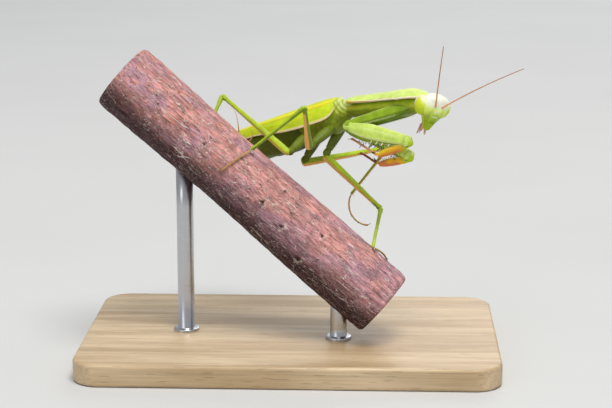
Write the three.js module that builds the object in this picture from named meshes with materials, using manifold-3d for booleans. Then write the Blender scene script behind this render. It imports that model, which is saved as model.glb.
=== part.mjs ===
// A praying mantis (Mantis religiosa, adult female) that grips a cut length of branch,
// held up by a display stand. Millimetres, +Z up. The origin is the centre of the
// underside of the stand's base. +X runs to the mantis's front right, along the base.
import * as THREE from 'three';
import { ParametricGeometry } from 'three/addons/geometries/ParametricGeometry.js';
import { mergeVertices } from 'three/addons/utils/BufferGeometryUtils.js';
import Module from 'manifold-3d';

const wasm = await Module();
wasm.setup();

// ---- Driving dimensions -------------------------------------------------------

// Trunk: the waist is the joint between the prothorax and the rest of the body.
const WAIST = [10.3, 4.7, 43.7];
const TRUNK_AIM = { heading: -30, climb: 21 };
const PROTHORAX_AIM = { heading: -40, climb: 9 };
const PROTHORAX_LENGTH = 18.2;
const PRONOTUM_HALF_WIDTH = 2.6;
const PRONOTUM_THICKNESS = 0.6;
const PTEROTHORAX_LENGTH = 11;
const ABDOMEN_LENGTH = 27;
const ABDOMEN_HALF_WIDTH = 3.8;
const TEGMEN_LENGTH = 35;
const TEGMEN_HALF_WIDTH = 4.5;
const TEGMEN_DROP = 3.1;
const TEGMEN_THICKNESS = 0.5;
const CERCUS_LENGTH = 4.5;

// Head: its own frame has +X out of the face, +Y to its left and +Z to the vertex.
const HEAD_CENTRE = [24.8, -10, 46.4];
const HEAD_AIM = { heading: -64, climb: -20, roll: -15 };
const HEAD_HEIGHT = 6.7;
const HEAD_HALF_WIDTH = 2.35;
const CHIN_DROP = 4.1;
const EYE_RADII = [1.4, 1.2, 1.75];
const EYE_CENTRE = [-0.65, 2.2, -0.1];
const EYE_LEAN = 16;
const ANTENNA_LENGTH = 16;
const ANTENNA_RADIUS = 0.27;

// Lengths of the leg segments; the trochanter belongs to the coxa here.
const FORE = { coxa: 13.05, femur: 15, tibia: 7.5, tarsus: 7.5 };
const MIDDLE = { coxa: 6.6, femur: 14, tibia: 13.5, tarsus: 7.2 };
const HIND = { coxa: 6.6, femur: 18, tibia: 16.6, tarsus: 9 };
const FORE_HIP = [14.6, 1.7, -0.4];
const MIDDLE_HIP = [-3.6, 2, -2.2];
const HIND_HIP = [-8.8, 2.2, -2.2];

// Pose of each leg, segment by segment, in degrees.
const FORE_RIGHT_POSE = {
  coxa: { heading: 150.5, climb: -18.7, roll: 27 },
  femur: { heading: -40, climb: -4, roll: -10 },
  tibia: { heading: 145, climb: -24, roll: -169 },
  tarsus: { heading: 135, climb: 17, roll: 0 },
};
const FORE_LEFT_POSE = {
  coxa: { heading: 147, climb: -20.4, roll: 30 },
  femur: { heading: -52, climb: -14, roll: -22 },
  tibia: { heading: 140, climb: -16, roll: -158 },
  tarsus: { heading: 119, climb: 6, roll: 0 },
};
const MIDDLE_RIGHT_POSE = {
  coxa: { heading: -131, climb: -25 },
  femur: { heading: -92, climb: 40 },
  tibia: { heading: 152, climb: -38 },
  tarsus: { heading: -151, climb: -29, roll: -61, curl: 48 },
};
const MIDDLE_LEFT_POSE = {
  coxa: { heading: -160, climb: -58 },
  femur: { heading: -5, climb: -43 },
  tibia: { heading: -96, climb: -17 },
  tarsus: { heading: 64, climb: -33, roll: 33, curl: 20 },
};
const HIND_RIGHT_POSE = {
  coxa: { heading: -123, climb: -20 },
  femur: { heading: 143, climb: 29 },
  tibia: { heading: -122, climb: -51 },
  tarsus: { heading: 170, climb: 48, roll: 152, curl: 6 },
};
const HIND_LEFT_POSE = {
  coxa: { heading: -159, climb: -58 },
  femur: { heading: 30, climb: 4 },
  tibia: { heading: 124, climb: -42 },
  tarsus: { heading: -16, climb: -57, roll: 180, curl: 130 },
};

// Perch: a slightly crooked branch that slopes down to the right.
const PERCH_TOP_END = [-30, 0.3, 50.2];
const PERCH_AIM = { heading: -8.5, climb: -40 };
const PERCH_LENGTH = 61.5;
const PERCH_RADIUS = 6.2;

// Stand: a bevelled base plate and two upright rods under the perch.
const BASE_SIZE = [74, 46, 4];
const BASE_CORNER = 5;
const BASE_BEVEL = 0.6;
const ROD_RADIUS = 1.5;
const ROD_PLACES = [14.5, 51];

const JOINT_GAP = 0.3;
const TOUCH_GAP = 0.1;
const MERGE_TOLERANCE = 1e-4;
const SPINE_SIDES = 4;

const FINISH = {
  cuticle: { color: 0x86ad33, roughness: 0.5, metalness: 0 },
  pronotum: { color: 0xb4d164, roughness: 0.45, metalness: 0 },
  shadedCuticle: { color: 0x5f7a1c, roughness: 0.55, metalness: 0 },
  tegmen: { color: 0xaccb3a, roughness: 0.5, metalness: 0 },
  face: { color: 0xb9d26a, roughness: 0.45, metalness: 0 },
  eye: { color: 0xb8d21c, roughness: 0.2, metalness: 0 },
  antenna: { color: 0xb4652c, roughness: 0.6, metalness: 0 },
  mouth: { color: 0xb98a6a, roughness: 0.6, metalness: 0 },
  foreTibia: { color: 0xe0a030, roughness: 0.5, metalness: 0 },
  tarsus: { color: 0xc98f5a, roughness: 0.6, metalness: 0 },
  bark: { color: 0x8a5a58, roughness: 0.85, metalness: 0 },
  wood: { color: 0xd8c4a0, roughness: 0.5, metalness: 0 },
  steel: { color: 0xb8bcc0, roughness: 0.3, metalness: 1 },
};

// ---- Solids -------------------------------------------------------------------

const model = new THREE.Group();
const makers = new Map();

function toSolid(geometry) {
  const bare = geometry.clone();
  bare.deleteAttribute('normal');
  bare.deleteAttribute('uv');
  const merged = mergeVertices(bare, MERGE_TOLERANCE);
  const corners = merged.index.array;
  const kept = [];
  for (let i = 0; i < corners.length; i += 3) {
    const [a, b, c] = [corners[i], corners[i + 1], corners[i + 2]];
    if (a !== b && b !== c && c !== a) kept.push(a, b, c);
  }
  return new wasm.Manifold(new wasm.Mesh({
    numProp: 3,
    vertProperties: new Float32Array(merged.attributes.position.array),
    triVerts: new Uint32Array(kept),
  }));
}

function toGeometry(solid) {
  const { vertProperties, triVerts } = solid.getMesh();
  const geometry = new THREE.BufferGeometry();
  geometry.setAttribute('position', new THREE.BufferAttribute(vertProperties, 3));
  geometry.setIndex(new THREE.BufferAttribute(triVerts, 1));
  geometry.computeVertexNormals();
  return geometry;
}

function join(body, ...additions) {
  return toGeometry(additions.reduce((solid, extra) => solid.add(toSolid(extra)), toSolid(body)));
}

function addPiece(parent, name, finish, make) {
  const mesh = new THREE.Mesh(
    toGeometry(toSolid(make(0))),
    new THREE.MeshStandardMaterial(finish),
  );
  mesh.name = name;
  parent.add(mesh);
  makers.set(name, make);
}

function largestBody(solid) {
  return solid.decompose().reduce((best, body) => (body.volume() > best.volume() ? body : best));
}

// Cuts a piece back so that it clears its neighbours by the gap.
function trim(name, neighbours, gap = JOINT_GAP) {
  const mesh = model.getObjectByName(name);
  const toLocal = mesh.matrixWorld.clone().invert();
  let solid = toSolid(mesh.geometry);
  for (const neighbour of neighbours) {
    const cutter = makers.get(neighbour)(gap).clone();
    cutter.applyMatrix4(toLocal.clone().multiply(model.getObjectByName(neighbour).matrixWorld));
    solid = solid.subtract(toSolid(cutter));
  }
  mesh.geometry = toGeometry(largestBody(solid));
}

// ---- Placing ------------------------------------------------------------------

// Turns a group so that its +X points at the heading (from +X towards +Y) and climbs.
function aimedGroup(parent, position, { heading = 0, climb = 0, roll = 0 }) {
  const { degToRad } = THREE.MathUtils;
  const group = new THREE.Group();
  group.position.set(...position);
  group.rotation.set(degToRad(roll), degToRad(-climb), degToRad(heading), 'ZYX');
  parent.add(group);
  group.updateMatrixWorld(true);
  return group;
}

function worldPoint(group, x, y = 0, z = 0) {
  return group.localToWorld(new THREE.Vector3(x, y, z)).toArray();
}

// ---- Shapes -------------------------------------------------------------------

// The value of one column of the stations at t, on a smooth curve through them all.
function valueAt(stations, column, t) {
  const last = stations.length - 1;
  let i = 0;
  while (i < last - 1 && t > stations[i + 1][0]) i += 1;
  const slope = (k) => {
    const [before, after] = [stations[Math.max(k - 1, 0)], stations[Math.min(k + 1, last)]];
    return (after[column] - before[column]) / (after[0] - before[0]);
  };
  const span = stations[i + 1][0] - stations[i][0];
  const s = Math.min(Math.max((t - stations[i][0]) / span, 0), 1);
  const [s2, s3] = [s * s, s * s * s];
  return (2 * s3 - 3 * s2 + 1) * stations[i][column] + (s3 - 2 * s2 + s) * span * slope(i)
    + (3 * s2 - 2 * s3) * stations[i + 1][column] + (s3 - s2) * span * slope(i + 1);
}

// The rings of a closed body: where each lies along it, and how far it has opened there.
function ringsOf(length, caps, middleRings, capAngles, grow) {
  const [backCap, frontCap] = [caps[0] + grow, caps[1] + grow];
  const rings = capAngles.map((angle) => {
    const turn = THREE.MathUtils.degToRad(angle);
    return { x: backCap * (1 - Math.cos(turn)) - grow, open: Math.sin(turn) };
  });
  for (let i = 0; i <= middleRings; i += 1) {
    rings.push({ x: caps[0] + (length - caps[0] - caps[1]) * (i / middleRings), open: 1 });
  }
  for (const angle of [...capAngles].reverse()) {
    const turn = THREE.MathUtils.degToRad(angle);
    rings.push({ x: length + grow - frontCap * (1 - Math.cos(turn)), open: Math.sin(turn) });
  }
  return rings;
}

// A closed round-ended body along +X. A station is [fraction of the length, half width,
// height above the axis, depth below it]; squareness 1 is an ellipse, less is boxier.
function body(shape, grow = 0) {
  const { length, stations, caps, sides = 10, middleRings = 4, squareness = 1, fine = false } = shape;
  const rings = ringsOf(length, caps, middleRings, fine ? [0, 35, 65] : [0, 50], grow);
  const corner = (value) => Math.sign(value) * Math.abs(value) ** squareness;
  return new ParametricGeometry((u, v, target) => {
    const { x, open } = rings[Math.round(v * (rings.length - 1))];
    const t = THREE.MathUtils.clamp(x / length, 0, 1);
    const angle = 2 * Math.PI * (Math.round(u * sides) % sides) / sides;
    const column = Math.sin(angle) >= 0 ? 2 : 3;
    const middle = (valueAt(stations, 2, t) - valueAt(stations, 3, t)) / 2;
    const y = (valueAt(stations, 1, t) + grow) * corner(Math.cos(angle)) * open;
    const z = (valueAt(stations, column, t) + grow) * corner(Math.sin(angle));
    target.set(x, y, middle + (z - middle) * open);
  }, sides, rings.length - 1);
}

// Bends a body along +X into an arc, hollow side down, and keeps its ends level.
function curl(geometry, length, degrees) {
  if (degrees === 0) return geometry;
  const turn = THREE.MathUtils.degToRad(degrees);
  const radius = length / turn;
  const places = geometry.attributes.position;
  for (let i = 0; i < places.count; i += 1) {
    const angle = turn * (places.getX(i) / length);
    const reach = radius + places.getZ(i);
    places.setXYZ(i, reach * Math.sin(angle), places.getY(i), reach * Math.cos(angle) - radius);
  }
  return geometry.rotateY(-turn / 2);
}

// A thin closed plate: surface(s, c) is its outer face, s along it and c across it.
// It thins to an edge at both ends of s.
function plate({ surface, thickness, along, across, width, length }, grow = 0) {
  const round = across * 2 + 2;
  const [sideGrow, endGrow] = [grow / width, grow / length];
  const point = (s, c) => surface(s * (1 + 2 * endGrow) - endGrow, c * (1 + 2 * sideGrow) - sideGrow);
  return new ParametricGeometry((u, v, target) => {
    const step = Math.round((1 - u) * round) % round;
    const outer = step <= across;
    const c = (outer ? step : 2 * across + 1 - step) / across;
    const s = 0.5 - 0.5 * Math.cos(Math.PI * v);
    const [here, ahead] = [point(s, c), point(s + 1e-3, c)];
    const [inner, beyond] = [point(s, c - 1e-3), point(s, c + 1e-3)];
    const normal = ahead.clone().sub(here).cross(beyond.sub(inner)).normalize();
    const thin = Math.min(1, Math.sin(Math.PI * v) * 3);
    const depth = outer ? grow : -thickness - grow;
    target.copy(here).addScaledVector(normal, depth * thin);
  }, round, along);
}

// A pointed spine with its root a little inside the body that it stands on.
function spine(place, direction, length, radius) {
  const root = 0.25;
  const cone = new THREE.ConeGeometry(radius, length + root, SPINE_SIDES);
  cone.translate(0, (length + root) / 2 - root, 0);
  const aim = new THREE.Vector3(...direction).normalize();
  cone.applyQuaternion(new THREE.Quaternion().setFromUnitVectors(new THREE.Vector3(0, 1, 0), aim));
  return cone.translate(...place);
}

// ---- Head ---------------------------------------------------------------------

function headCapsule(grow) {
  // Stations run from the mouth up to the vertex: half width, then behind and in front.
  const stations = [
    [0, 0.5, 0.5, 0.8], [0.14, 0.8, 0.8, 1.0], [0.3, 1.35, 1.1, 1.2], [0.48, 2.0, 1.4, 1.3],
    [0.68, HEAD_HALF_WIDTH, 1.6, 1.3], [0.88, 2.1, 1.5, 0.95], [1, 1.7, 1.2, 0.6],
  ];
  const capsule = body(
    { length: HEAD_HEIGHT, stations, caps: [0.4, 0.8], sides: 14, middleRings: 6, squareness: 0.8,
      fine: true },
    grow,
  );
  return capsule.rotateY(-Math.PI / 2).translate(0, 0, -CHIN_DROP);
}

function eye(side, grow) {
  const ball = new THREE.SphereGeometry(1, 12, 9);
  ball.scale(...EYE_RADII.map((radius) => radius + grow));
  ball.rotateX(THREE.MathUtils.degToRad(-side * EYE_LEAN));
  return ball.translate(EYE_CENTRE[0], side * EYE_CENTRE[1], EYE_CENTRE[2]);
}

function palp(side, start, length) {
  const tube = body({ length, stations: [[0, 0.28, 0.28, 0.28], [1, 0.25, 0.25, 0.25]],
    caps: [0.2, 0.2], sides: 5, middleRings: 2 });
  curl(tube, length, 50).rotateY(THREE.MathUtils.degToRad(70));
  tube.rotateZ(THREE.MathUtils.degToRad(side * 30));
  return tube.translate(start[0], side * start[1], start[2]);
}

// The jaws close the head below the face; two pairs of palps hang from them.
function mouthparts() {
  const jaws = body({ length: 1.6, stations: [[0, 0.4, 0.4, 0.6], [1, 0.75, 0.5, 0.9]],
    caps: [0.35, 0.3], sides: 6, middleRings: 1 });
  jaws.rotateY(-Math.PI / 2).translate(-0.55, 0, -CHIN_DROP - 0.75);
  const palps = [-1, 1].flatMap((side) => [
    palp(side, [-0.95, 0.45, -CHIN_DROP + 0.25], 2),
    palp(side, [-0.6, 0.3, -CHIN_DROP - 0.1], 1.3),
  ]);
  return join(jaws, ...palps);
}

function antenna(bend) {
  return curl(body({ length: ANTENNA_LENGTH, stations: [[0, 1, 1, 1], [1, 0.93, 0.93, 0.93]]
    .map(([at, ...sizes]) => [at, ...sizes.map((size) => size * ANTENNA_RADIUS)]),
    caps: [0.2, 0.2], sides: 6, middleRings: 8 }), ANTENNA_LENGTH, bend);
}

function buildHead() {
  const head = aimedGroup(model, HEAD_CENTRE, HEAD_AIM);
  addPiece(head, 'head', FINISH.face, headCapsule);
  addPiece(head, 'eye_left', FINISH.eye, (grow) => eye(1, grow));
  addPiece(head, 'eye_right', FINISH.eye, (grow) => eye(-1, grow));
  addPiece(head, 'mouthparts', FINISH.mouth, mouthparts);
  const rightBase = aimedGroup(model, worldPoint(head, 1.2, -0.7, 0.9), { heading: -86, climb: 47 });
  addPiece(rightBase, 'antenna_right', FINISH.antenna, () => antenna(5));
  const leftBase = aimedGroup(model, worldPoint(head, 1.2, 0.7, 0.9), { heading: -21, climb: 28 });
  addPiece(leftBase, 'antenna_left', FINISH.antenna, () => antenna(8));
}

// ---- Trunk --------------------------------------------------------------------

function neck() {
  return body({ length: 4.2, stations: [[0, 1.15, 1.1, 1.1], [1, 1.2, 1.1, 1.1]],
    caps: [0.5, 0.5], sides: 10, middleRings: 1 });
}

function prothorax(grow) {
  const stations = [
    [0, 1.4, 0.9, 1.6], [0.3, 1.4, 1.2, 1.5], [0.6, 1.7, 1.4, 1.8],
    [0.76, 2.0, 1.6, 1.75], [0.9, 1.7, 1.5, 1.3], [1, 1.25, 1.1, 0.9],
  ];
  return body({ length: PROTHORAX_LENGTH - 0.3, stations, caps: [0.8, 0.7], sides: 12,
    middleRings: 6, fine: true }, grow);
}

// The saddle over the prothorax: half width, height of its keel and drop to its margin.
function pronotum(grow) {
  const w = PRONOTUM_HALF_WIDTH;
  const stations = [
    [0, 0.3 * w, 1.95, 0.35], [0.05, 0.6 * w, 2.15, 0.7], [0.3, 0.66 * w, 2.35, 1.0],
    [0.58, 0.78 * w, 2.65, 1.2], [0.73, w, 2.85, 1.35], [0.84, 0.93 * w, 2.85, 1.3],
    [0.95, 0.66 * w, 2.5, 0.8], [1, 0.35 * w, 2.15, 0.3],
  ];
  const surface = (s, c) => {
    const across = 2 * c - 1;
    const t = THREE.MathUtils.clamp(s, 0, 1);
    return new THREE.Vector3(
      PROTHORAX_LENGTH * s,
      across * valueAt(stations, 1, t),
      valueAt(stations, 2, t) - valueAt(stations, 3, t) * Math.abs(across) ** 2.2,
    );
  };
  return plate({ surface, thickness: PRONOTUM_THICKNESS, along: 13, across: 6, width: 4.4,
    length: PROTHORAX_LENGTH }, grow);
}

function pterothorax(grow) {
  const stations = [
    [0, 2.5, 1.9, 2.9], [0.35, 2.7, 2.1, 3.3], [0.7, 2.15, 2.1, 3.2], [1, 1.5, 1.8, 2.1],
  ];
  return body({ length: PTEROTHORAX_LENGTH, stations, caps: [1.2, 1], sides: 14, middleRings: 4,
    fine: true }, grow).translate(-PTEROTHORAX_LENGTH + 0.2, 0, 0);
}

function abdomen(grow) {
  const w = ABDOMEN_HALF_WIDTH;
  const stations = [
    [0, 0.3 * w, 0.4, 1.2], [0.12, 0.62 * w, 1.0, 2.4], [0.4, 0.93 * w, 1.6, 3.5],
    [0.7, w, 1.8, 4.1], [0.92, 0.8 * w, 1.9, 4.3], [1, 0.6 * w, 1.7, 3.4],
  ];
  return body({ length: ABDOMEN_LENGTH, stations, caps: [2, 1.6], sides: 14, middleRings: 7,
    fine: true }, grow).translate(-PTEROTHORAX_LENGTH - ABDOMEN_LENGTH + 1, 0, 0);
}

// A folded forewing lies over the back from the midline and wraps down the flank.
function tegmen(side, grow) {
  const stations = [
    [0, 0.27, 2.95, 0.39], [0.03, 0.56, 3, 0.9], [0.07, 0.7, 3.05, 1.13], [0.14, 0.83, 3.1, 1.17],
    [0.22, 0.93, 3.1, 1.16], [0.32, 0.98, 3.1, 1.07], [0.42, 0.99, 3.05, 0.86], [0.5, 0.99, 3.05, 0.76],
    [0.7, 1, 2.9, 0.68], [0.88, 0.85, 2.65, 0.6], [1, 0.2, 2.1, 0.12],
  ];
  const surface = (s, c) => {
    const t = THREE.MathUtils.clamp(s, 0, 1);
    const across = side > 0 ? 1 - c : c;
    const halfWidth = TEGMEN_HALF_WIDTH * valueAt(stations, 1, t);
    return new THREE.Vector3(
      -1.6 - TEGMEN_LENGTH * s,
      side * (0.17 + (halfWidth - 0.17) * Math.sin(across * Math.PI / 2)),
      valueAt(stations, 2, t) - TEGMEN_DROP * valueAt(stations, 3, t) * Math.abs(across) ** 2.2,
    );
  };
  return plate({ surface, thickness: TEGMEN_THICKNESS, along: 12, across: 6, width: 5,
    length: TEGMEN_LENGTH }, grow);
}

function cercus() {
  return body({ length: CERCUS_LENGTH, stations: [[0, 0.4, 0.4, 0.4], [0.4, 0.5, 0.45, 0.45],
    [1, 0.26, 0.26, 0.26]], caps: [0.3, 0.3], sides: 7, middleRings: 3 });
}

function buildTrunk() {
  const trunk = aimedGroup(model, WAIST, TRUNK_AIM);
  addPiece(trunk, 'pterothorax', FINISH.cuticle, pterothorax);
  addPiece(trunk, 'abdomen', FINISH.shadedCuticle, abdomen);
  addPiece(trunk, 'tegmen_left', FINISH.tegmen, (grow) => tegmen(1, grow));
  addPiece(trunk, 'tegmen_right', FINISH.tegmen, (grow) => tegmen(-1, grow));
  for (const [name, side] of [['cercus_left', 1], ['cercus_right', -1]]) {
    const root = aimedGroup(trunk, [-PTEROTHORAX_LENGTH - ABDOMEN_LENGTH + 2.6, side * 1.7, -0.2],
      { heading: 180 - side * 22, climb: -6 });
    addPiece(root, name, FINISH.shadedCuticle, cercus);
  }
  const front = aimedGroup(model, WAIST, PROTHORAX_AIM);
  addPiece(front, 'prothorax', FINISH.shadedCuticle, prothorax);
  addPiece(front, 'pronotum', FINISH.pronotum, pronotum);
  const neckStart = worldPoint(front, PROTHORAX_LENGTH - 1.4, 0, 0.2);
  addPiece(aimedGroup(model, neckStart, { heading: -68, climb: 4 }), 'neck', FINISH.cuticle, neck);
  return { trunk, front };
}

// ---- Legs ---------------------------------------------------------------------

function foreCoxa(grow) {
  const stations = [
    [0, 0.95, 1.1, 1.1], [0.25, 0.9, 1.25, 1.2], [0.7, 0.8, 1.0, 1.0], [0.88, 0.8, 0.9, 0.95],
    [1, 0.85, 1.0, 1.1],
  ];
  return body({ length: FORE.coxa, stations, caps: [0.9, 0.9], sides: 10, middleRings: 5 }, grow);
}

function foreFemur(side, grow) {
  const stations = [
    [0, 0.7, 0.8, 0.8], [0.12, 0.9, 1.15, 1.4], [0.36, 0.97, 1.4, 2.0], [0.7, 0.85, 1.2, 1.5],
    [0.9, 0.75, 1.0, 1.05], [1, 0.75, 1.0, 1.05],
  ];
  const length = FORE.femur;
  const shaft = body({ length, stations, caps: [0.8, 0.9], sides: 10, middleRings: 5, fine: true }, grow);
  if (grow > 0) return shaft;
  const spines = [];
  for (const [i, at] of [0.42, 0.5, 0.58, 0.68].entries()) {
    spines.push(spine([length * at, side * 0.5, -1.4], [-0.25, side * 0.5, -1], 1.3 - 0.1 * i, 0.22));
  }
  for (let i = 0; i < 6; i += 1) {
    const place = [length * (0.37 + 0.07 * i), side * -0.5, -1.35];
    spines.push(spine(place, [-0.2, side * -0.35, -1], i % 2 === 0 ? 1.1 : 0.7, 0.2));
  }
  for (const [i, reach] of [0.9, 2.0, 1.5, 1.0].entries()) {
    const across = side * (0.1 - 0.12 * i);
    spines.push(spine([length * (0.27 + 0.025 * i), across, -1.5], [-0.1, 0, -1], reach, 0.24));
  }
  return join(shaft, ...spines);
}

function tibialClaw(grow) {
  const length = 2.6;
  const claw = body({ length, stations: [[0, 0.36, 0.38, 0.38], [1, 0.1, 0.1, 0.1]],
    caps: [0.3, 0.1], sides: 6, middleRings: 3 }, grow);
  curl(claw, length, 45).rotateY(THREE.MathUtils.degToRad(35));
  return claw.translate(FORE.tibia - 0.55, 0, 0.05);
}

// Its teeth face the femur and its end is a long hooked claw.
function foreTibia(grow) {
  const stations = [
    [0, 0.55, 0.6, 0.6], [0.3, 0.55, 0.75, 0.7], [0.75, 0.52, 0.68, 0.65], [1, 0.4, 0.42, 0.45],
  ];
  const length = FORE.tibia;
  const shaft = body({ length, stations, caps: [0.5, 0.4], sides: 8, middleRings: 3 }, grow);
  const teeth = [];
  for (let i = 0; i < 5; i += 1) {
    for (const side of [-1, 1]) {
      const place = [length * (0.34 + 0.12 * i), side * 0.28, -0.42];
      teeth.push(spine(place, [0.45, side * 0.3, -1], 0.45 + 0.05 * i, 0.16));
    }
  }
  return join(shaft, tibialClaw(grow), ...teeth);
}

function shank({ length, root, tip, knob = 1, sides = 8 }) {
  const stations = [
    [0, root, root, root], [0.12, root, root, root],
    [0.85, tip, tip, tip], [1, tip * knob, tip * knob, tip * knob],
  ];
  return (grow) => body({ length, stations, caps: [root, tip * knob], sides, middleRings: 4 }, grow);
}

// A foot of five short segments that ends in a pair of claws.
function foot(length, bend, thickness) {
  const stations = [
    [0, thickness, thickness, thickness], [0.5, 0.9 * thickness, 0.9 * thickness, 0.9 * thickness],
    [1, 0.95 * thickness, 0.95 * thickness, 0.95 * thickness],
  ];
  return () => {
    const sole = body({ length: length - 0.5, stations, caps: [0.2, 0.25], sides: 6, middleRings: 4 });
    const claws = [-1, 1].map((side) => spine([length - 0.75, 0, 0], [1, side * 0.45, -0.35], 0.8, 0.2));
    return curl(join(sole, ...claws), length, bend);
  };
}

function segmentMakers(pair, pose, side) {
  if (pair === 'fore') {
    const femur = (grow) => foreFemur(side, grow);
    return { coxa: foreCoxa, femur, tibia: foreTibia, tarsus: foot(FORE.tarsus, 0, 0.28) };
  }
  const sizes = pair === 'mid' ? MIDDLE : HIND;
  return {
    coxa: shank({ length: sizes.coxa, root: 1.05, tip: 0.72 }),
    femur: shank({ length: sizes.femur, root: 0.72, tip: 0.4, knob: 1.35 }),
    tibia: shank({ length: sizes.tibia, root: 0.42, tip: 0.3, knob: 1.2 }),
    tarsus: foot(sizes.tarsus, pose.tarsus.curl, 0.27),
  };
}

const LEG_FINISH = {
  fore: { coxa: 'cuticle', femur: 'cuticle', tibia: 'foreTibia', tarsus: 'tarsus' },
  mid: { coxa: 'cuticle', femur: 'cuticle', tibia: 'cuticle', tarsus: 'tarsus' },
  hind: { coxa: 'cuticle', femur: 'cuticle', tibia: 'cuticle', tarsus: 'tarsus' },
};

// Each segment starts where the one before it ends. The near fore foot stands beside
// the tibia's claw.
function buildLeg(pair, sideName, hip, sizes, pose) {
  const makersOf = segmentMakers(pair, pose, sideName === 'left' ? 1 : -1);
  let start = hip;
  for (const segment of ['coxa', 'femur', 'tibia', 'tarsus']) {
    const group = aimedGroup(model, start, pose[segment]);
    addPiece(group, `${pair}_${segment}_${sideName}`, FINISH[LEG_FINISH[pair][segment]], makersOf[segment]);
    start = worldPoint(group, sizes[segment]);
  }
}

function buildLegs({ trunk, front }) {
  const hipOf = (group, [x, y, z], side) => worldPoint(group, x, side * y, z);
  buildLeg('fore', 'right', hipOf(front, FORE_HIP, -1), FORE, FORE_RIGHT_POSE);
  buildLeg('fore', 'left', hipOf(front, FORE_HIP, 1), FORE, FORE_LEFT_POSE);
  buildLeg('mid', 'right', hipOf(trunk, MIDDLE_HIP, -1), MIDDLE, MIDDLE_RIGHT_POSE);
  buildLeg('mid', 'left', hipOf(trunk, MIDDLE_HIP, 1), MIDDLE, MIDDLE_LEFT_POSE);
  buildLeg('hind', 'right', hipOf(trunk, HIND_HIP, -1), HIND, HIND_RIGHT_POSE);
  buildLeg('hind', 'left', hipOf(trunk, HIND_HIP, 1), HIND, HIND_LEFT_POSE);
}

// ---- Perch and stand ----------------------------------------------------------

// A branch with flat cut ends; slow waves along it make it a little knotty.
function perchBranch(grow) {
  const [sides, rings] = [14, 8];
  return new ParametricGeometry((u, v, target) => {
    const ring = Math.round(v * (rings + 2)) - 1;
    const t = THREE.MathUtils.clamp(ring / rings, 0, 1);
    const angle = 2 * Math.PI * (Math.round(u * sides) % sides) / sides;
    const knot = 1 + 0.018 * Math.sin(9 * t + 1) + 0.012 * Math.sin(2 * angle + 5 * t);
    const capped = ring < 0 || ring > rings;
    const radius = capped ? 0 : PERCH_RADIUS * knot + grow;
    target.set(
      PERCH_LENGTH * t + (t > 0.5 ? grow : -grow) * (ring <= 0 || ring >= rings ? 1 : 0),
      radius * Math.cos(angle),
      radius * Math.sin(angle),
    );
  }, sides, rings + 2);
}

function standBase() {
  const [width, depth, height] = BASE_SIZE;
  const [x, y] = [width / 2 - BASE_BEVEL, depth / 2 - BASE_BEVEL];
  const r = BASE_CORNER;
  const outline = new THREE.Shape();
  outline.absarc(x - r, y - r, r, 0, Math.PI / 2);
  outline.absarc(r - x, y - r, r, Math.PI / 2, Math.PI);
  outline.absarc(r - x, r - y, r, Math.PI, 1.5 * Math.PI);
  outline.absarc(x - r, r - y, r, 1.5 * Math.PI, 2 * Math.PI);
  return new THREE.ExtrudeGeometry(outline, {
    depth: height - 2 * BASE_BEVEL,
    bevelThickness: BASE_BEVEL,
    bevelSize: BASE_BEVEL,
    bevelSegments: 1,
    curveSegments: 3,
  }).translate(0, 0, BASE_BEVEL);
}

function standRod(height) {
  const rod = new THREE.CylinderGeometry(ROD_RADIUS, ROD_RADIUS, height, 12);
  return rod.rotateX(Math.PI / 2).translate(0, 0, height / 2);
}

// Each rod stands under the branch's axis and is cut to the bark above it.
function buildStand() {
  const perch = aimedGroup(model, PERCH_TOP_END, PERCH_AIM);
  addPiece(perch, 'perch_branch', FINISH.bark, perchBranch);
  addPiece(model, 'stand_base', FINISH.wood, standBase);
  const floor = BASE_SIZE[2] + TOUCH_GAP;
  for (const [i, distance] of ROD_PLACES.entries()) {
    const [x, y, z] = worldPoint(perch, distance);
    const rod = aimedGroup(model, [x, y, floor], {});
    addPiece(rod, `stand_rod_${i + 1}`, FINISH.steel, () => standRod(z - floor));
  }
}

// ---- Assembly -----------------------------------------------------------------

function trimNeighbours() {
  model.updateMatrixWorld(true);
  trim('head', ['eye_left', 'eye_right']);
  trim('mouthparts', ['head']);
  trim('neck', ['prothorax', 'pronotum', 'head']);
  trim('antenna_left', ['head']);
  trim('antenna_right', ['head']);
  trim('prothorax', ['pterothorax', 'fore_coxa_left', 'fore_coxa_right']);
  trim('pronotum', ['head']);
  trim('pterothorax', ['mid_coxa_left', 'mid_coxa_right', 'hind_coxa_left', 'hind_coxa_right']);
  trim('abdomen', ['pterothorax', 'hind_coxa_left', 'hind_coxa_right']);
  for (const side of ['left', 'right']) {
    trim(`cercus_${side}`, ['abdomen', `tegmen_${side}`]);
    for (const pair of ['fore', 'mid', 'hind']) {
      trim(`${pair}_femur_${side}`, [`${pair}_coxa_${side}`]);
      trim(`${pair}_tibia_${side}`, [`${pair}_femur_${side}`]);
      trim(`${pair}_tarsus_${side}`, [`${pair}_tibia_${side}`]);
    }
    trim(`mid_tarsus_${side}`, ['perch_branch'], TOUCH_GAP);
  }
  trim('hind_tarsus_right', ['perch_branch'], TOUCH_GAP);
  for (let i = 1; i <= ROD_PLACES.length; i += 1) trim(`stand_rod_${i}`, ['perch_branch']);
}

buildHead();
buildLegs(buildTrunk());
buildStand();
trimNeighbours();

export default model;
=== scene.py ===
"""Looks of a praying mantis (Mantis religiosa) that grips a cut branch on a display stand.

Shapes are worked out in millimetres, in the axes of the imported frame, and turned into metres when a
mesh is made. Every piece but the dry fibres stands for the frame's node at the same place.
"""

from __future__ import annotations

import sys

import logging
import math
from abc import ABC, abstractmethod
from dataclasses import dataclass, field, fields, replace
from enum import Enum
from typing import Sequence

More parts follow.
